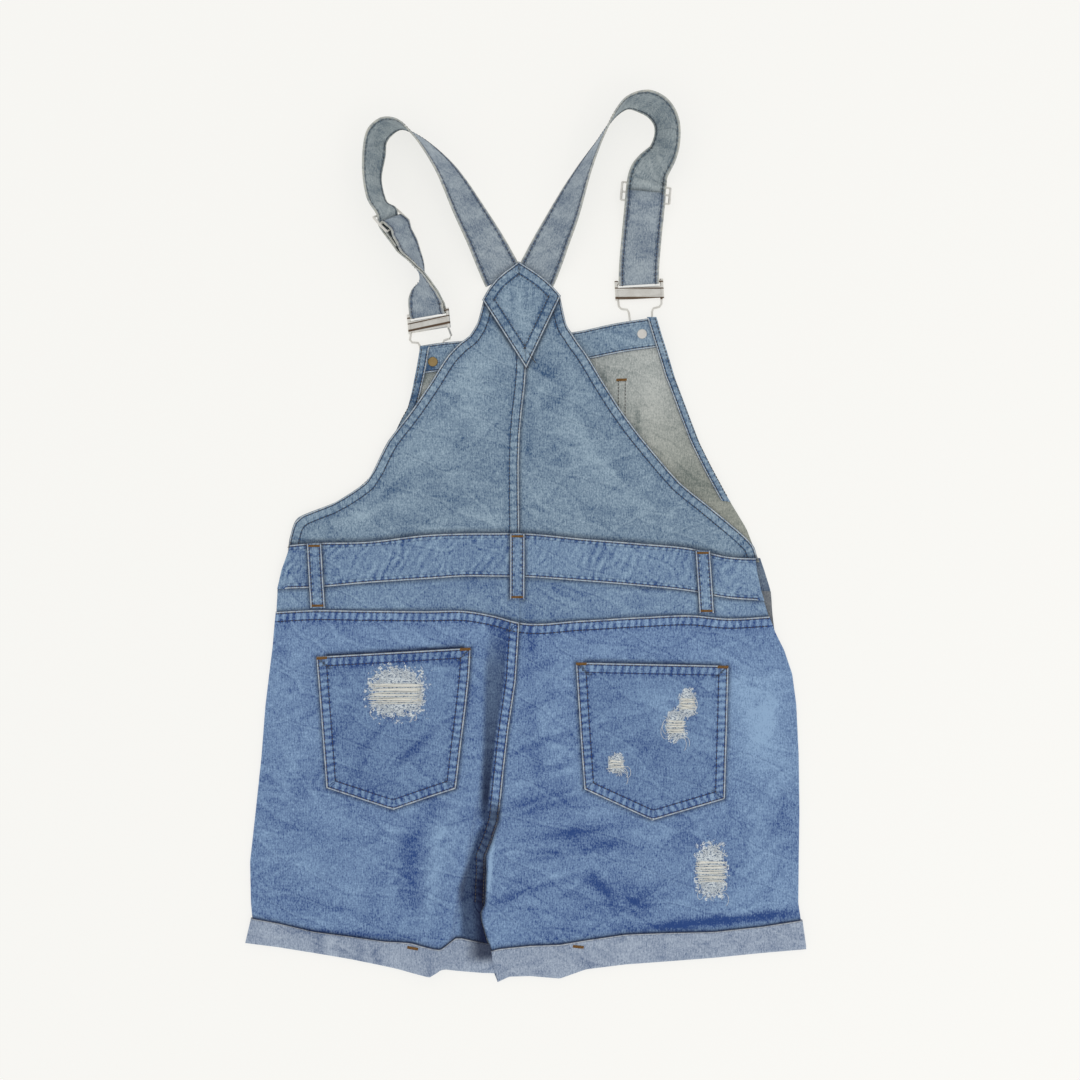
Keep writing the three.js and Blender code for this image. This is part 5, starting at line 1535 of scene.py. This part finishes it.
# The middles of the cuffs' bar tacks.
CUFF_TACKS = {"left": (-106.0, -385.5), "right": (50.5, -385.0)}
for side in ("left", "right"):
    for face in ("back", "front"):
        out, within = cuff_sheet(side, face)
        name = f"cuff_{face}_{side}"
        dark = cuff_hollow if side == "left" else None
        line = drawn(cuff_edge(side, "top"), -268, 268, 160)
        piece = shell(f"cloth_{name}", out, within, CUFF, [line], dark=dark, edges="plain")
        rest = f"cloth_leg_back_{side}" if face == "back" else "floor"
        tacks = []
        if face == "back":
            level = lambda x, y, s=side: leg_under(s, x, y) + LAYER + CUFF_SLACK + CLOTH
            tack_x, tack_y = CUFF_TACKS[side]
            tacks = [bar_tack(f"tack_cuff_{side}", tack_x, tack_y, -6, level, 10.5, 3.2)]
        declare(piece, name, "folded", [rest], tacks)


# The back pockets.
def pocket_back(side):
    """Rows from the top edge to the pointed lower edge: the table's lines by an even share v, the
    last one bent to the point: + (point − its middle) · (1 − |2u − 1|) · max(0, 2v − 1)."""
    lines = POCKETS[side]
    v = spaced(140, CELL, SEAM_STEPS, SEAM_STEPS)
    u = spaced(146, CELL, SEAM_STEPS, SEAM_STEPS)
    row = v * 4
    corner = {key: np.interp(row, np.arange(5), lines[key])[:, None] for key in lines}
    foot = [(lines[axis + "0"][-1] + lines[axis + "1"][-1]) / 2 for axis in "xy"]
    tip = np.array(POCKET_POINT[side]) - foot
    bent = (1 - np.abs(2 * u - 1)) * np.clip((v[:, None] - 0.5) / 0.5, 0, 1)
    x = mix(corner["x0"], corner["x1"], u) + tip[0] * bent
    y = mix(corner["y0"], corner["y1"], u) + tip[1] * bent
    under = lambda a, b: leg_under(side, a, b) + CLOTH + POCKET_GAP
    outline = np.concatenate([
        np.column_stack([x[:, 0], y[:, 0]]),
        np.column_stack([x[-1], y[-1]]),
        np.column_stack([x[::-1, -1], y[::-1, -1]]),
    ])
    top_edge = np.column_stack([x[0], y[0]])
    piece = laid(f"cloth_pocket_{side}", x, y, under, POCKET, [outline[::3], top_edge[::6]])
    return piece, lambda a, b: under(a, b) + CLOTH


POCKET_TOPS = {}
for side in ("left", "right"):
    piece, top = pocket_back(side)
    POCKET_TOPS[side] = top
    around = pocket_line(side)
    left, right = around[0], around[-1]
    rows = [offset(around, d) for d in TWIN_ROWS]
    rows += [offset(np.vstack([left, right]), -d) for d in TWIN_ROWS]
    thread = sewn(f"stitches_pocket_{side}", rows, lambda x, y, f=top: f(x, y) + 0.15)
    angle = 3 if side == "left" else -1
    tacks = [
        bar_tack(f"tack_pocket_{side}_0", left[0] + 5.5, left[1] - 1.5, angle, top),
        bar_tack(f"tack_pocket_{side}_1", right[0] - 5.5, right[1] - 1.5, angle, top),
    ]
    declare(piece, f"pocket_back_{side}", "laid",
            [f"cloth_leg_back_{side}"], [thread, *tacks])


# The threads of the rips.
def strands(name, paths, radius, material):
    """Thin threads along paths of points: point = path + radius · (cos(a) · side + sin(a) · up),
    with three angles a, narrower at both ends."""
    paths = np.asarray(paths, float)
    count, steps = paths.shape[:2]
    along = unit(np.gradient(paths, axis=1) + [0, 0, 1e-6])
    side = unit(np.cross(along, [0.0, 0, 1]) + [1e-9, 0, 0])
    up = np.cross(side, along)
    size = radius * np.concatenate([[0.4], np.ones(steps - 2), [0.4]])[None, :, None, None]
    angle = np.radians([90, 210, 330])[None, None, :, None]
    round_it = np.cos(angle) * side[:, :, None] + np.sin(angle) * up[:, :, None]
    points = paths[:, :, None] + size * round_it
    first = (np.arange(count) * steps * 3)[:, None, None]
    step = (np.arange(steps - 1) * 3)[None, :, None]
    corner, following = np.arange(3), (np.arange(3) + 1) % 3
    at = first + step
    quads = np.stack([at + corner, at + following, at + following + 3, at + corner + 3], -1)
    starts = np.arange(count) * steps * 3
    ends = starts + (steps - 1) * 3
    caps = [[a + 2, a + 1, a] for a in starts.tolist()] + [[a, a + 1, a + 2] for a in ends.tolist()]
    return thread_object(name, points, quads.reshape(-1, 4).tolist() + caps, material)


def rip_threads(index, top):
    """The weft threads left across a rip's middle, its frayed threads above and below, and a few
    long curls. Each is start + way · t, bent to its side by a share of t²."""
    middle_x, middle_y, wide, high = (RIPS[key][index] for key in ("x", "y", "wide", "high"))
    chance = np.random.default_rng(40 + index)
    t = np.linspace(0, 1, 9)[None, :]

    def laid_on(x, y, lift):
        return np.stack([x, y, top(x, y) + 0.35 + lift * np.sin(np.pi * t)], -1)

    def spread(low, high, count):
        return chance.uniform(low, high, count)[:, None]

    count = int(high * 0.92)
    row = np.linspace(-0.4, 0.34, count)[:, None]
    row = middle_y + (row + 0.045 * np.sin(row * 34)) * high
    left, right = (middle_x + way * wide * spread(0.8, 1.08, count) for way in (-1, 1))
    sag = spread(-0.9, 0.9, count) * np.sin(np.pi * t) + spread(-1.2, 1.2, count) * (t - 0.5)
    weft = laid_on(mix(left, right, t), row + sag, spread(0.2, 0.9, count))

    count = int(wide * high * 0.24) + 12
    turn = spread(0, 2 * np.pi, count)
    out = np.sqrt(spread(0.3, 0.95, count))
    x0, y0 = middle_x + np.cos(turn) * wide * out, middle_y + np.sin(turn) * high * out
    way = np.where(y0 > middle_y, 1, -1) * spread(0.9, 2.2, count)
    long = spread(1.8, 5.0, count)
    bend = spread(-1.1, 1.1, count) * long * t**2
    frayed = laid_on(x0 + long * t * np.cos(way) - bend * np.sin(way),
                     y0 + long * t * np.sin(way) + bend * np.cos(way), spread(0.3, 1.2, count))

    count = 3 + int(wide / 5)
    side = np.where(spread(0, 1, count) > 0.4, 1.0, -1.0)
    x0 = middle_x + side * wide * spread(0.6, 0.95, count)
    y0 = middle_y + high * spread(-0.9, 0.5, count)
    round_by = spread(2.0, 4.2, 1) * spread(0.8, 1.3, count)
    angle = side * spread(2.2, 4.2, count) * t + spread(-1, 1, count)
    curls = laid_on(x0 + round_by * (np.sin(angle) - np.sin(angle[:, :1])),
                    y0 + round_by * 1.5 * (np.cos(angle) - np.cos(angle[:, :1])), spread(0.6, 1.6, count))
    return [
        strands(f"rip_{index}_weft", weft, 0.6, WHITE_THREAD),
        strands(f"rip_{index}_frayed", frayed, 0.33, FRAYED_THREAD),
        strands(f"rip_{index}_curls", curls, 0.22, WHITE_THREAD),
    ]


# What each rip is in, in the order of the table, and the surface of each.
RIP_OWNERS = ("pocket_back_left", *["pocket_back_right"] * 3, "leg_back_right")
OWNER_TOPS = {
    "pocket_back_left": POCKET_TOPS["left"],
    "pocket_back_right": POCKET_TOPS["right"],
    "leg_back_right": lambda x, y: leg_under("right", x, y) + CLOTH,
}
for index, owner in enumerate(RIP_OWNERS):
    threads = rip_threads(index, OWNER_TOPS[owner])
    for _, node, _, _, going in SHEETS:
        if node == owner:
            going.extend(threads)

# The belt loops.
for name, (top_x, top_y, foot_x, foot_y) in LOOPS.items():
    v = spaced(60, 1.6)
    u = spaced(LOOP_WIDTH, 1.4)
    y = mix(top_y, foot_y, v)[:, None] + 0 * u
    x = mix(top_x, foot_x, v)[:, None] + (u - 0.5) * LOOP_WIDTH

    def under(a, b):
        on_band = smooth(waist_bottom(a) - LAP_RISE, waist_bottom(a) - 0.5, b)
        return back_base(a, b) + LAYER * (1 + on_band + centre_lift(a, b)) + 0.1

    edges = [np.column_stack([x[:, k], y[:, k]])[::4] for k in (0, -1)]
    piece = laid(f"cloth_belt_loop_{name}", x, y, under, YOKE, edges, edges="one row")
    top = lambda a, b, f=under: f(a, b) + CLOTH + 0.4
    thread = sewn(f"stitches_loop_{name}", [offset(edges[0], 2.4), offset(edges[1], -2.4)], top)
    ends = [
        bar_tack(f"tack_loop_{name}_{k}", mix(top_x, foot_x, s), mix(top_y, foot_y, s), 0, top, 11.5, 2.6)
        for k, s in enumerate((0.035, 0.965))
    ]
    declare(piece, f"belt_loop_{name}", "laid", ["cloth_waistband_back"], [thread, *ends])


# The diamond patch.
def diamond_under(x, y):
    """The patch lies on the bib, on two layers round the centre seam, and on the straps' ends."""
    lap = fall(SEAM_LAP + 8, SEAM_LAP + 24, bib_seam(y) - x) * fall(9, 24, x - bib_seam(y))
    return back_base(x, y) + LAYER * (1 + lap) + STRAP_END_LIFT * smooth(200, 225, y) + DIAMOND_GAP


s = spaced(80, 1.8, SEAM_STEPS, SEAM_STEPS)[:, None]
t = spaced(60, 1.8, SEAM_STEPS, SEAM_STEPS)[None, :]
corners = {key: np.array(value)[:, None, None] for key, value in DIAMOND.items()}
swell = lambda share: np.sin(np.pi * share**1.2)
x, y = mix(mix(corners["top"], corners["left"], t), mix(corners["right"], corners["bottom"], t), s)
x = x - 2.6 * swell(t) * (1 - s) + 1.8 * swell(s) * (1 - t)
y = y + 2.9 * swell(t) * (1 - s) + 1.9 * swell(s) * (1 - t)
sides = (
    np.column_stack([x[0], y[0]]),
    np.column_stack([x[:, -1], y[:, -1]]),
    np.column_stack([x[-1, ::-1], y[-1, ::-1]]),
    np.column_stack([x[::-1, 0], y[::-1, 0]]),
)
ring = np.vstack([side[::7] for side in sides] + [sides[0][:1]])
diamond = laid("cloth_diamond", x, y, diamond_under, BIB, [ring])
diamond_top = lambda a, b: diamond_under(a, b) + CLOTH + 0.15
closed = np.vstack([ring[-2], ring, ring[1]])
diamond_rows = [offset(closed, d)[1:-1] for d in (1.9, 10.2)]
thread = sewn("stitches_diamond", diamond_rows, diamond_top)
declare(diamond, "bib_back_diamond", "laid", ["cloth_bib_back_left"], [thread])

# The front bib.
FRONT_EDGES = table(
    "left_x left_y right_x right_y",
    [-224, -4, 222.5, -21],
    [-212, 12, 210, 11],
    [-175, 31, 192.1, 40.6],
    [-149, 54, 179.1, 64.6],
    [-133, 80, 166, 90.7],
    [-118.5, 112, 157.2, 113.6],
    [-111.4, 124.2, 147.4, 139.8],
    [-107.3, 138.7, 142.5, 152.5],
    [-104.2, 153.2, 136, 173],
    [-102.6, 161.2, 132.7, 183],
    [-101.2, 169, 129.5, 192.9],
    [-100, 176.3, 126.8, 202],
    [-98.8, 183.5, 124.2, 210.7],
)
FRONT_TOP = table("share rise", [0, 0], [0.06, 0.6], [0.18, 0], [0.66, -4], [0.84, -1], [1, 0])
front_top_rise = curve(FRONT_TOP, "share", "rise")


def front_bib_under(x, y):
    """The front bib lies on its pocket, and is raised round its buttons."""
    return LAYER + corner_lift(x, y)


at = np.linspace(0, 12, 90)
edge = {key: np.interp(at, np.arange(13.0), value)[:, None] for key, value in FRONT_EDGES.items()}
u = spaced(300, 3.0)
rise = front_top_rise(u) * (at[:, None] / 12) ** 12
x = mix(edge["left_x"], edge["right_x"], u)
y = mix(edge["left_y"], edge["right_y"], u) + rise
bib_front = laid("cloth_bib_front", x, y, front_bib_under, INSIDE, outer_wrong=1.0,
                 inner_wrong=0.0)
pocket_rows = [np.array([[d, 30.0], [d, 151.5]]) for d in (88.5, 95.0)]
front_top = lambda a, b: front_bib_under(a, b) + CLOTH
thread = sewn("stitches_bib_pocket", pocket_rows, lambda a, b: front_top(a, b) + 0.1)
tack = bar_tack("tack_bib_pocket", 91.5, 151.8, 2, front_top, 10, 3)
declare(bib_front, "bib_front", "laid", ["cloth_bib_pocket"], [thread, tack])


def band_under(x, y):
    """The top band lies on the front bib."""
    return front_bib_under(x, y) + LAYER


left_of = reader(FRONT_EDGES, "left_y", "left_x")
right_of = reader(FRONT_EDGES, "right_y", "right_x")
depth = (BAND_HEIGHT * (1 - spaced(BAND_HEIGHT, 2.0, ROW_STEPS, ROW_STEPS)))[:, None]
u = spaced(225, 2.2)
low_y, high_y = (FRONT_EDGES[key][-1] - depth for key in ("left_y", "right_y"))
x = mix(left_of(low_y), right_of(high_y), u)
y = mix(low_y, high_y, u) + front_top_rise(u)
edges = [np.column_stack([x[k], y[k]])[::4] for k in (0, -1)]
band = laid("cloth_bib_top_band", x, y, band_under, BIB, edges, edges="one row")
band_top = lambda a, b: band_under(a, b) + CLOTH
rows = [offset(edges[0], TWIN_ROWS[0]), offset(edges[1], -TWIN_ROWS[0])]
thread = sewn("stitches_bib_band", rows, lambda a, b: band_top(a, b) + 0.1)
declare(band, "bib_top_band", "laid", ["cloth_bib_front"], [thread])


# Where the side facings begin.
FACING_FOOT = 36.0


def facing_lift(side, y):
    """The facing lies on one layer, and on two where it crosses the top band."""
    foot = FRONT_EDGES[f"{side}_y"][-1] - BAND_HEIGHT
    return LAYER * (1 + smooth(foot - 9, foot - 4, y))


def facing(side):
    """A strip along the bib's side: point = edge(y) + width · u inward, over v from its foot to
    its top, and slanted by 1.375 · u below the pocket's top."""
    inward = 1 if side == "left" else -1
    edge_x = reader(FRONT_EDGES, f"{side}_y", f"{side}_x")
    top_y = FRONT_EDGES[f"{side}_y"][-1]
    y0 = mix(FACING_FOOT, top_y, spaced(top_y - FACING_FOOT, 2.2))[:, None]
    u = spaced(FACING_WIDTH, 1.3)
    x = edge_x(y0) + inward * u * FACING_WIDTH
    y = y0 + 1.375 * u * np.where(y0 < 150, 1, 0)
    low = front_bib_under(x, y0) + facing_lift(side, y0) + 0.35
    high = low + rounded(x, y, CLOTH)
    line = np.column_stack([x[:, -1], y[:, -1]])[::4]
    outer, inner = (np.stack([x, y, z], -1) for z in (high, low))
    return shell(f"cloth_bib_facing_{side}", outer, inner, BIB, [line]), line


for side, turn in (("left", 1), ("right", -1)):
    piece, line = facing(side)
    level = lambda a, b, s=side: front_bib_under(a, b) + CLOTH + 0.5 + facing_lift(s, b)
    thread = sewn(f"stitches_facing_{side}", [offset(line, turn * 1.6), offset(line, turn * 7.0)], level)
    declare(piece, f"bib_side_facing_{side}", "laid", ["cloth_bib_front"], [thread])

# The bib pocket and the front waistband, which lie on the floor under all the rest.
x, y = np.meshgrid(mix(-60, 97, spaced(157, 5)), mix(152, 30, spaced(122, 5)))
on_floor = lambda a, b: 0 * a
under_pocket = laid("cloth_bib_pocket", x, y, on_floor, BIB, outer_wrong=1.0, inner_wrong=0.0)
declare(under_pocket, "bib_pocket", "laid", ["floor"])

x, y = band_grid(lambda y: left_side(y) + 0.3, right_side, waist_top, waist_bottom,
                 spaced(WAISTBAND, 3.5), spaced(WAIST_LENGTH, 3.5))
waist_front = laid("cloth_waistband_front", x, y, on_floor, YOKE, waist_lines, outer_wrong=0.3,
                   inner_wrong=0.0, edges="one row",
                   dark=lambda a, b: 0.4 * smooth(195, 205, a) + 0 * b)
declare(waist_front, "waistband_front", "laid", ["floor"])

# The straps: points along each one's middle line in the plan, with its roll in degrees, 0 where
# it lies flat with its right side up, and how far its lower edge is off the floor.
SPINES = {
    "left": table(
        "x y roll raised",
        [-20.2, 248.4, 0, 0.9],
        [-21.5, 251, 0, 0.9],
        [-27, 262, 12, 0.6],
        [-39, 286, 28, 0],
        [-51.5, 308.5, 38, 0],
        [-73.5, 347.5, 58, 0],
        [-92.5, 371, 72, 0],
        [-104, 381.5, 80, 0],
        [-117, 390, 90, 0],
        [-130, 388.5, 106, 0],
        [-139, 379.5, 114, 0],
        [-141.5, 366, 118, 0],
        [-143.5, 342, 112, 1],
        [-138.5, 318.5, 114, 4],
        [-129, 300, 122, 4.5],
        [-112, 275.5, 120, 2],
        [-99.5, 252, 94, 2],
        [-95, 233, 50, 5],
        [-93.4, 221, 29, 6],
        [-92.7, 213.5, 28, 6],
        [-91.9, 205, 28, 6],
    ),
    "right": table(
        "x y roll raised",
        [9.5, 248.1, 0, 0.9],
        [11.5, 252.5, 0, 0.9],
        [16.5, 263, 12, 0.6],
        [26.5, 285, 28, 0],
        [35.5, 304, 38, 0],
        [54, 345.5, 64, 0],
        [70, 375.5, 80, 0],
        [87, 403, 90, 0],
        [98, 411.5, 96, 0],
        [113, 412, 112, 0],
        [125, 406, 118, 0],
        [132.5, 395, 121, 0],
        [134, 380.5, 127, 0],
        [129.5, 364, 138, 0],
        [119.5, 350, 160, 0],
        [116, 341, 180, 0],
        [114.6, 331, 180, 0],
        [113.7, 320, 180, 0],
        [110.5, 286, 180, 0],
        [108.2, 258, 180, 0],
        [108, 244.6, 180, 0],
        [108.6, 236, 180, 0],
    ),
}
TO_OUTSIDE = {"left": -1, "right": 1}
SPINE_STEPS = 600


def through(points, share):
    """A centripetal Catmull-Rom curve through points, at shares from 0 to 1 of their count."""
    points = np.asarray(points, float)
    padded = np.vstack([2 * points[0] - points[1], points, 2 * points[-1] - points[-2]])
    place = np.clip(np.asarray(share, float), 0, 1) * (len(points) - 1)
    i = np.minimum(place.astype(int), len(points) - 2)
    w = (place - i)[:, None]
    p0, p1, p2, p3 = (padded[i + k] for k in range(4))
    gap = lambda a, b: np.maximum((((b - a) ** 2).sum(1) ** 0.25)[:, None], 1e-4)
    d0, d1, d2 = gap(p0, p1), gap(p1, p2), gap(p2, p3)
    m1 = ((p1 - p0) / d0 - (p2 - p0) / (d0 + d1) + (p2 - p1) / d1) * d1
    m2 = ((p2 - p1) / d1 - (p3 - p1) / (d1 + d2) + (p3 - p2) / d2) * d1
    squared, cubed = -3 * p1 + 3 * p2 - 2 * m1 - m2, 2 * p1 - 2 * p2 + m1 + m2
    return p1 + m1 * w + squared * w**2 + cubed * w**3


class Spine:
    """A strap's middle line with its roll. At a length it has its place, and the ways along,
    across and out of the inner face: across = cos(roll) · outside − sin(roll) · z, and inward =
    −sin(roll) · outside − cos(roll) · z."""

    def __init__(self, side):
        rows = np.stack(list(SPINES[side].values()), -1)
        share = np.linspace(0, 1, SPINE_STEPS + 1)
        flat = through(rows[:, :2], share)
        turn = through(np.column_stack([np.arange(len(rows)), rows[:, 2:]]), share)
        self.roll = np.radians(turn[:, 1])
        z = (turn[:, 2] + STRAP_WIDTH / 2 * np.abs(np.sin(self.roll))
             + STRAP_THICK / 2 * np.abs(np.cos(self.roll)))
        self.points = np.column_stack([flat, z])
        steps = np.linalg.norm(np.diff(self.points, axis=0), axis=1)
        self.run = np.concatenate([[0], np.cumsum(steps)])
        self.length = self.run[-1]
        self.side = side

    def at(self, s):
        """Place, along, across and inward at each length s."""
        s = np.clip(np.atleast_1d(np.asarray(s, float)), 0, self.length)
        read = lambda values: np.interp(s, self.run, values)
        place = np.stack([read(self.points[:, k]) for k in range(3)], -1)
        roll = read(self.roll)
        i = np.clip(np.searchsorted(self.run, s), 1, SPINE_STEPS - 1)
        ahead, back = np.minimum(i + 4, SPINE_STEPS), np.maximum(i - 4, 0)
        along = unit(self.points[ahead] - self.points[back])
        level = unit(along * [1, 1, 0])
        outside = np.column_stack([level[:, 1], -level[:, 0], 0 * s]) * -TO_OUTSIDE[self.side]
        up = np.array([0.0, 0, 1])
        across = outside * np.cos(roll)[:, None] - up * np.sin(roll)[:, None]
        across = unit(across - along * (across * along).sum(1)[:, None])
        inward = -outside * np.sin(roll)[:, None] - up * np.cos(roll)[:, None]
        inward = inward - along * (inward * along).sum(1)[:, None]
        inward = unit(inward - across * (inward * across).sum(1)[:, None])
        return place, along, across, inward


# The buckle's bar and the slider's three bars, by the strap's way round them: how far the
# buckle's bar is from the spine's end and the slider's middle bar from it, the radius of the
# strap round each, the layers' spacing, the bars' spacing, the tail and the top bar's height.
BUCKLE_BAR, SLIDER_WIRE = 3.0, 2.0
FITTINGS = {"left": (8.5, 95.0), "right": (8.6, 84.0)}
WRAP = BUCKLE_BAR / 2 + GAP + STRAP_THICK / 2
SLIDER_WRAP = SLIDER_WIRE / 2 + GAP + STRAP_THICK / 2
PLY = STRAP_THICK + GAP + 0.1
PITCH, TAIL = 8.5, 26.0
BAR_TOP = 1.9
BAR_MIDDLE = PLY + SLIDER_WRAP
BAR_BOTTOM = 2 * BAR_MIDDLE - BAR_TOP


def strap_way(side, spine):
    """The strap's way as lengths s along its spine and offsets o to its inner side: over the
    slider's top bar, under its middle bar, round the buckle's bar and back up to the slider's
    middle bar, round that, and down a short tail."""
    past_bar, back = FITTINGS[side]
    bar = spine.length - past_bar
    middle = bar - back
    top, bottom = middle - PITCH, middle + PITCH
    hump = BAR_TOP + SLIDER_WRAP + GAP
    over_top = ((-9, 0.35), (-5, 0.8), (-1.5, 1), (1.5, 0.97), (4, 0.55), (6.5, 0.1))
    way = [(share * (top - 14), 0.0) for share in np.linspace(0, 1, 43)]
    way += [(top + ds, hump * share) for ds, share in over_top]
    way += [(s, 0.0) for s in np.arange(middle + 3, bar - 4, 11)]
    way += [(bar + WRAP * np.sin(a), WRAP - WRAP * np.cos(a)) for a in np.linspace(0, np.pi, 8)]
    way += [(bar - 8, mix(2 * WRAP, PLY, 0.6)), (bar - 15, PLY + 0.1)]
    tail_end = middle + TAIL
    way += [(s, PLY) for s in np.arange(bar - 26, tail_end + 9, -11)]
    way += [(tail_end + 6, PLY + 0.6), (tail_end - 1, 2 * PLY + 0.2), (bottom + 6, 2 * PLY + 1.6)]
    way += [(bottom + 2.5, BAR_BOTTOM + SLIDER_WRAP - 0.2)]
    way += [(bottom - 1, BAR_BOTTOM + SLIDER_WRAP + 0.25)]
    way += [(bottom - 5, mix(BAR_BOTTOM, BAR_MIDDLE, 0.6) + SLIDER_WRAP)]
    way += [(middle - SLIDER_WRAP * np.sin(a), BAR_MIDDLE + SLIDER_WRAP * np.cos(a))
            for a in np.linspace(0, np.pi, 7)]
    way += [(middle + 8, PLY), (middle + 16, PLY), (tail_end, PLY)]
    return np.array(way)


# Places across a strap from −1 to 1, and its thickness by their distance from the middle.
STRAP_PLACES = np.array([-1, -0.985, -0.95, -0.87, -0.76, *np.linspace(-0.66, 0.66, 9),
                         0.76, 0.87, 0.95, 0.985, 1])
STRAP_SECTION = table(
    "away share",
    [0, 0.78],
    [0.7, 0.8],
    [0.76, 0.7],
    [0.8, 0.95],
    [0.93, 1],
    [0.985, 0.8],
    [1, 0.4],
)
STRAP_STEP = 1.6


def strap_ribbon(side):
    """A ribbon along its way: point = place(s) + o · inward + u · across + v · normal, with u over
    its width and v over its thickness, less at its folded edges. Its middle line, its ways across
    and out of the inner face, its two faces as grids, and the length along it of each row."""
    spine = Spine(side)
    way = strap_way(side, spine)
    steps = np.linalg.norm(np.diff(way, axis=0), axis=1)
    run = np.concatenate([[0], np.cumsum(steps)])
    at = np.arange(0, run[-1], STRAP_STEP)
    fine = np.stack([np.interp(at, run, way[:, k]) for k in range(2)], -1)
    for _ in range(2):
        fine[1:-1] = (fine[:-2] + 2 * fine[1:-1] + fine[2:]) / 4
    slope = np.gradient(fine, axis=0)
    slope /= np.linalg.norm(slope, axis=1)[:, None]
    place, along, across, inward = spine.at(fine[:, 0])
    middle = place + inward * fine[:, 1:]
    normal = unit(inward * slope[:, :1] - along * slope[:, 1:])
    u = STRAP_PLACES
    thick = STRAP_THICK / 2 * np.interp(np.abs(u), STRAP_SECTION["away"], STRAP_SECTION["share"])
    wave = 0.25 * (noise(at[:, None] / 13, u[None] * 2 + 5, 8) - 0.5)
    centre = (middle[:, None] + across[:, None] * (u * STRAP_WIDTH / 2)[None, :, None]
              + normal[:, None] * wave[..., None])
    inner = centre + normal[:, None] * thick[None, :, None]
    outer = centre - normal[:, None] * thick[None, :, None]
    return middle, across, normal, outer, inner, at


def strap(side):
    """A strap's cloth, with the fields that its material reads, and its four rows of stitches,
    which lie 0.82 of half its width from its middle, on both faces."""
    middle, across, normal, outer, inner, at = strap_ribbon(side)
    points = np.concatenate([outer.reshape(-1, 3), inner.reshape(-1, 3)])
    u, v = np.meshgrid(STRAP_PLACES, at)
    reach = (1 - np.abs(u)) * STRAP_WIDTH / 2
    reach = np.where(reach < 5, 0.8 + reach * 0.32, 13 + reach)
    smudge = 0.4 * (noise(v / 11, u + 4, 21) - 0.5) + 0.3 * (noise(v / 4, u * 2, 22) - 0.5)
    both_faces = lambda values: np.tile(values.ravel(), 2)
    thing = cloth_object(f"cloth_strap_{side}", points, shell_faces(*u.shape), STRAP)
    attribute(thing, "seam", both_faces(reach))
    attribute(thing, "along", both_faces(v))
    attribute(thing, "wrong", np.repeat([0.0, 1.0], u.size))
    attribute(thing, "shade", np.zeros(len(points)))
    attribute(thing, "high", both_faces(smudge))
    attribute(thing, "torn", np.zeros(len(points)))
    cloth_place(thing, both_faces(u * STRAP_WIDTH / 2), both_faces(v))
    pick = np.arange(2, len(at) - 2, 2)
    rows = [(edge, face) for edge in (-0.82, 0.82) for face in (-1, 1)]
    centres = [middle[pick] + across[pick] * (edge * STRAP_WIDTH / 2) + normal[pick] * face * 0.72
               for edge, face in rows]
    ways = [unit(middle[pick + 1] - middle[pick - 1])] * len(rows)
    ups = [normal[pick] * face for _, face in rows]
    thread = stitch_mesh(f"stitches_strap_{side}", *map(np.concatenate, (centres, ways, ups)))
    declare(thing, f"strap_{side}", "folded", ["floor"], [thread])


for side in ("left", "right"):
    strap(side)

# The metal of each fitting, which keeps the model's own mesh.
METALS = {
    "slider_left": STEEL,
    "slider_right": STEEL,
    "buckle_left": BUCKLES["left"],
    "buckle_right": BUCKLES["right"],
    "bib_button_left": BRASS,
    "bib_button_right": STEEL,
}
for node, metal in METALS.items():
    bpy.data.objects[node].data.materials.clear()
    bpy.data.objects[node].data.materials.append(metal)

# The floor, lights and camera. The floor glows a little, so that it is nearly white round the
# garment and still takes its shadow.
floor_material, _, paper = blank("floor_paper")
paper.inputs["Base Color"].default_value = (0.3, 0.298, 0.288, 1)
paper.inputs["Roughness"].default_value = 1.0
paper.inputs["Specular IOR Level"].default_value = 0.0
paper.inputs["Emission Color"].default_value = (1.0, 0.992, 0.958, 1)
paper.inputs["Emission Strength"].default_value = 0.7
floor_mesh = bpy.data.meshes.new("floor")
floor_mesh.from_pydata([(-4, -4, 0), (4, -4, 0), (4, 4, 0), (-4, 4, 0)], [], [(0, 1, 2, 3)])
floor_mesh.materials.append(floor_material)
floor = bpy.data.objects.new("floor", floor_mesh)
bpy.context.scene.collection.objects.link(floor)


def area_light(name, place, size, energy):
    """A round white light that faces the origin."""
    light = bpy.data.lights.new(name, "AREA")
    light.shape = "DISK"
    light.size, light.energy = size, energy
    thing = bpy.data.objects.new(name, light)
    thing.location = place
    aim = -np.array(place) / np.linalg.norm(place)
    thing.rotation_euler = (np.arccos(-aim[2]), 0, np.arctan2(-aim[0], aim[1]) + np.pi)
    bpy.context.scene.collection.objects.link(thing)


area_light("key", (-1.6, 1.9, 1.9), size=0.9, energy=124)
area_light("fill", (1.8, -1.2, 2.6), size=1.8, energy=26)
world = bpy.data.worlds.new("studio")
world.use_nodes = True
world.node_tree.nodes["Background"].inputs["Color"].default_value = (1, 1, 1, 1)
world.node_tree.nodes["Background"].inputs["Strength"].default_value = 0.76
bpy.context.scene.world = world

camera_data = bpy.data.cameras.new("camera")
camera_data.lens = 60
camera_data.sensor_width = 36
camera_data.dof.use_dof = False
camera = bpy.data.objects.new("camera", camera_data)
camera.location = (0.01425, 0, 1.71)
bpy.context.scene.collection.objects.link(camera)
bpy.context.scene.camera = camera
bpy.context.scene.view_settings.view_transform = "Standard"
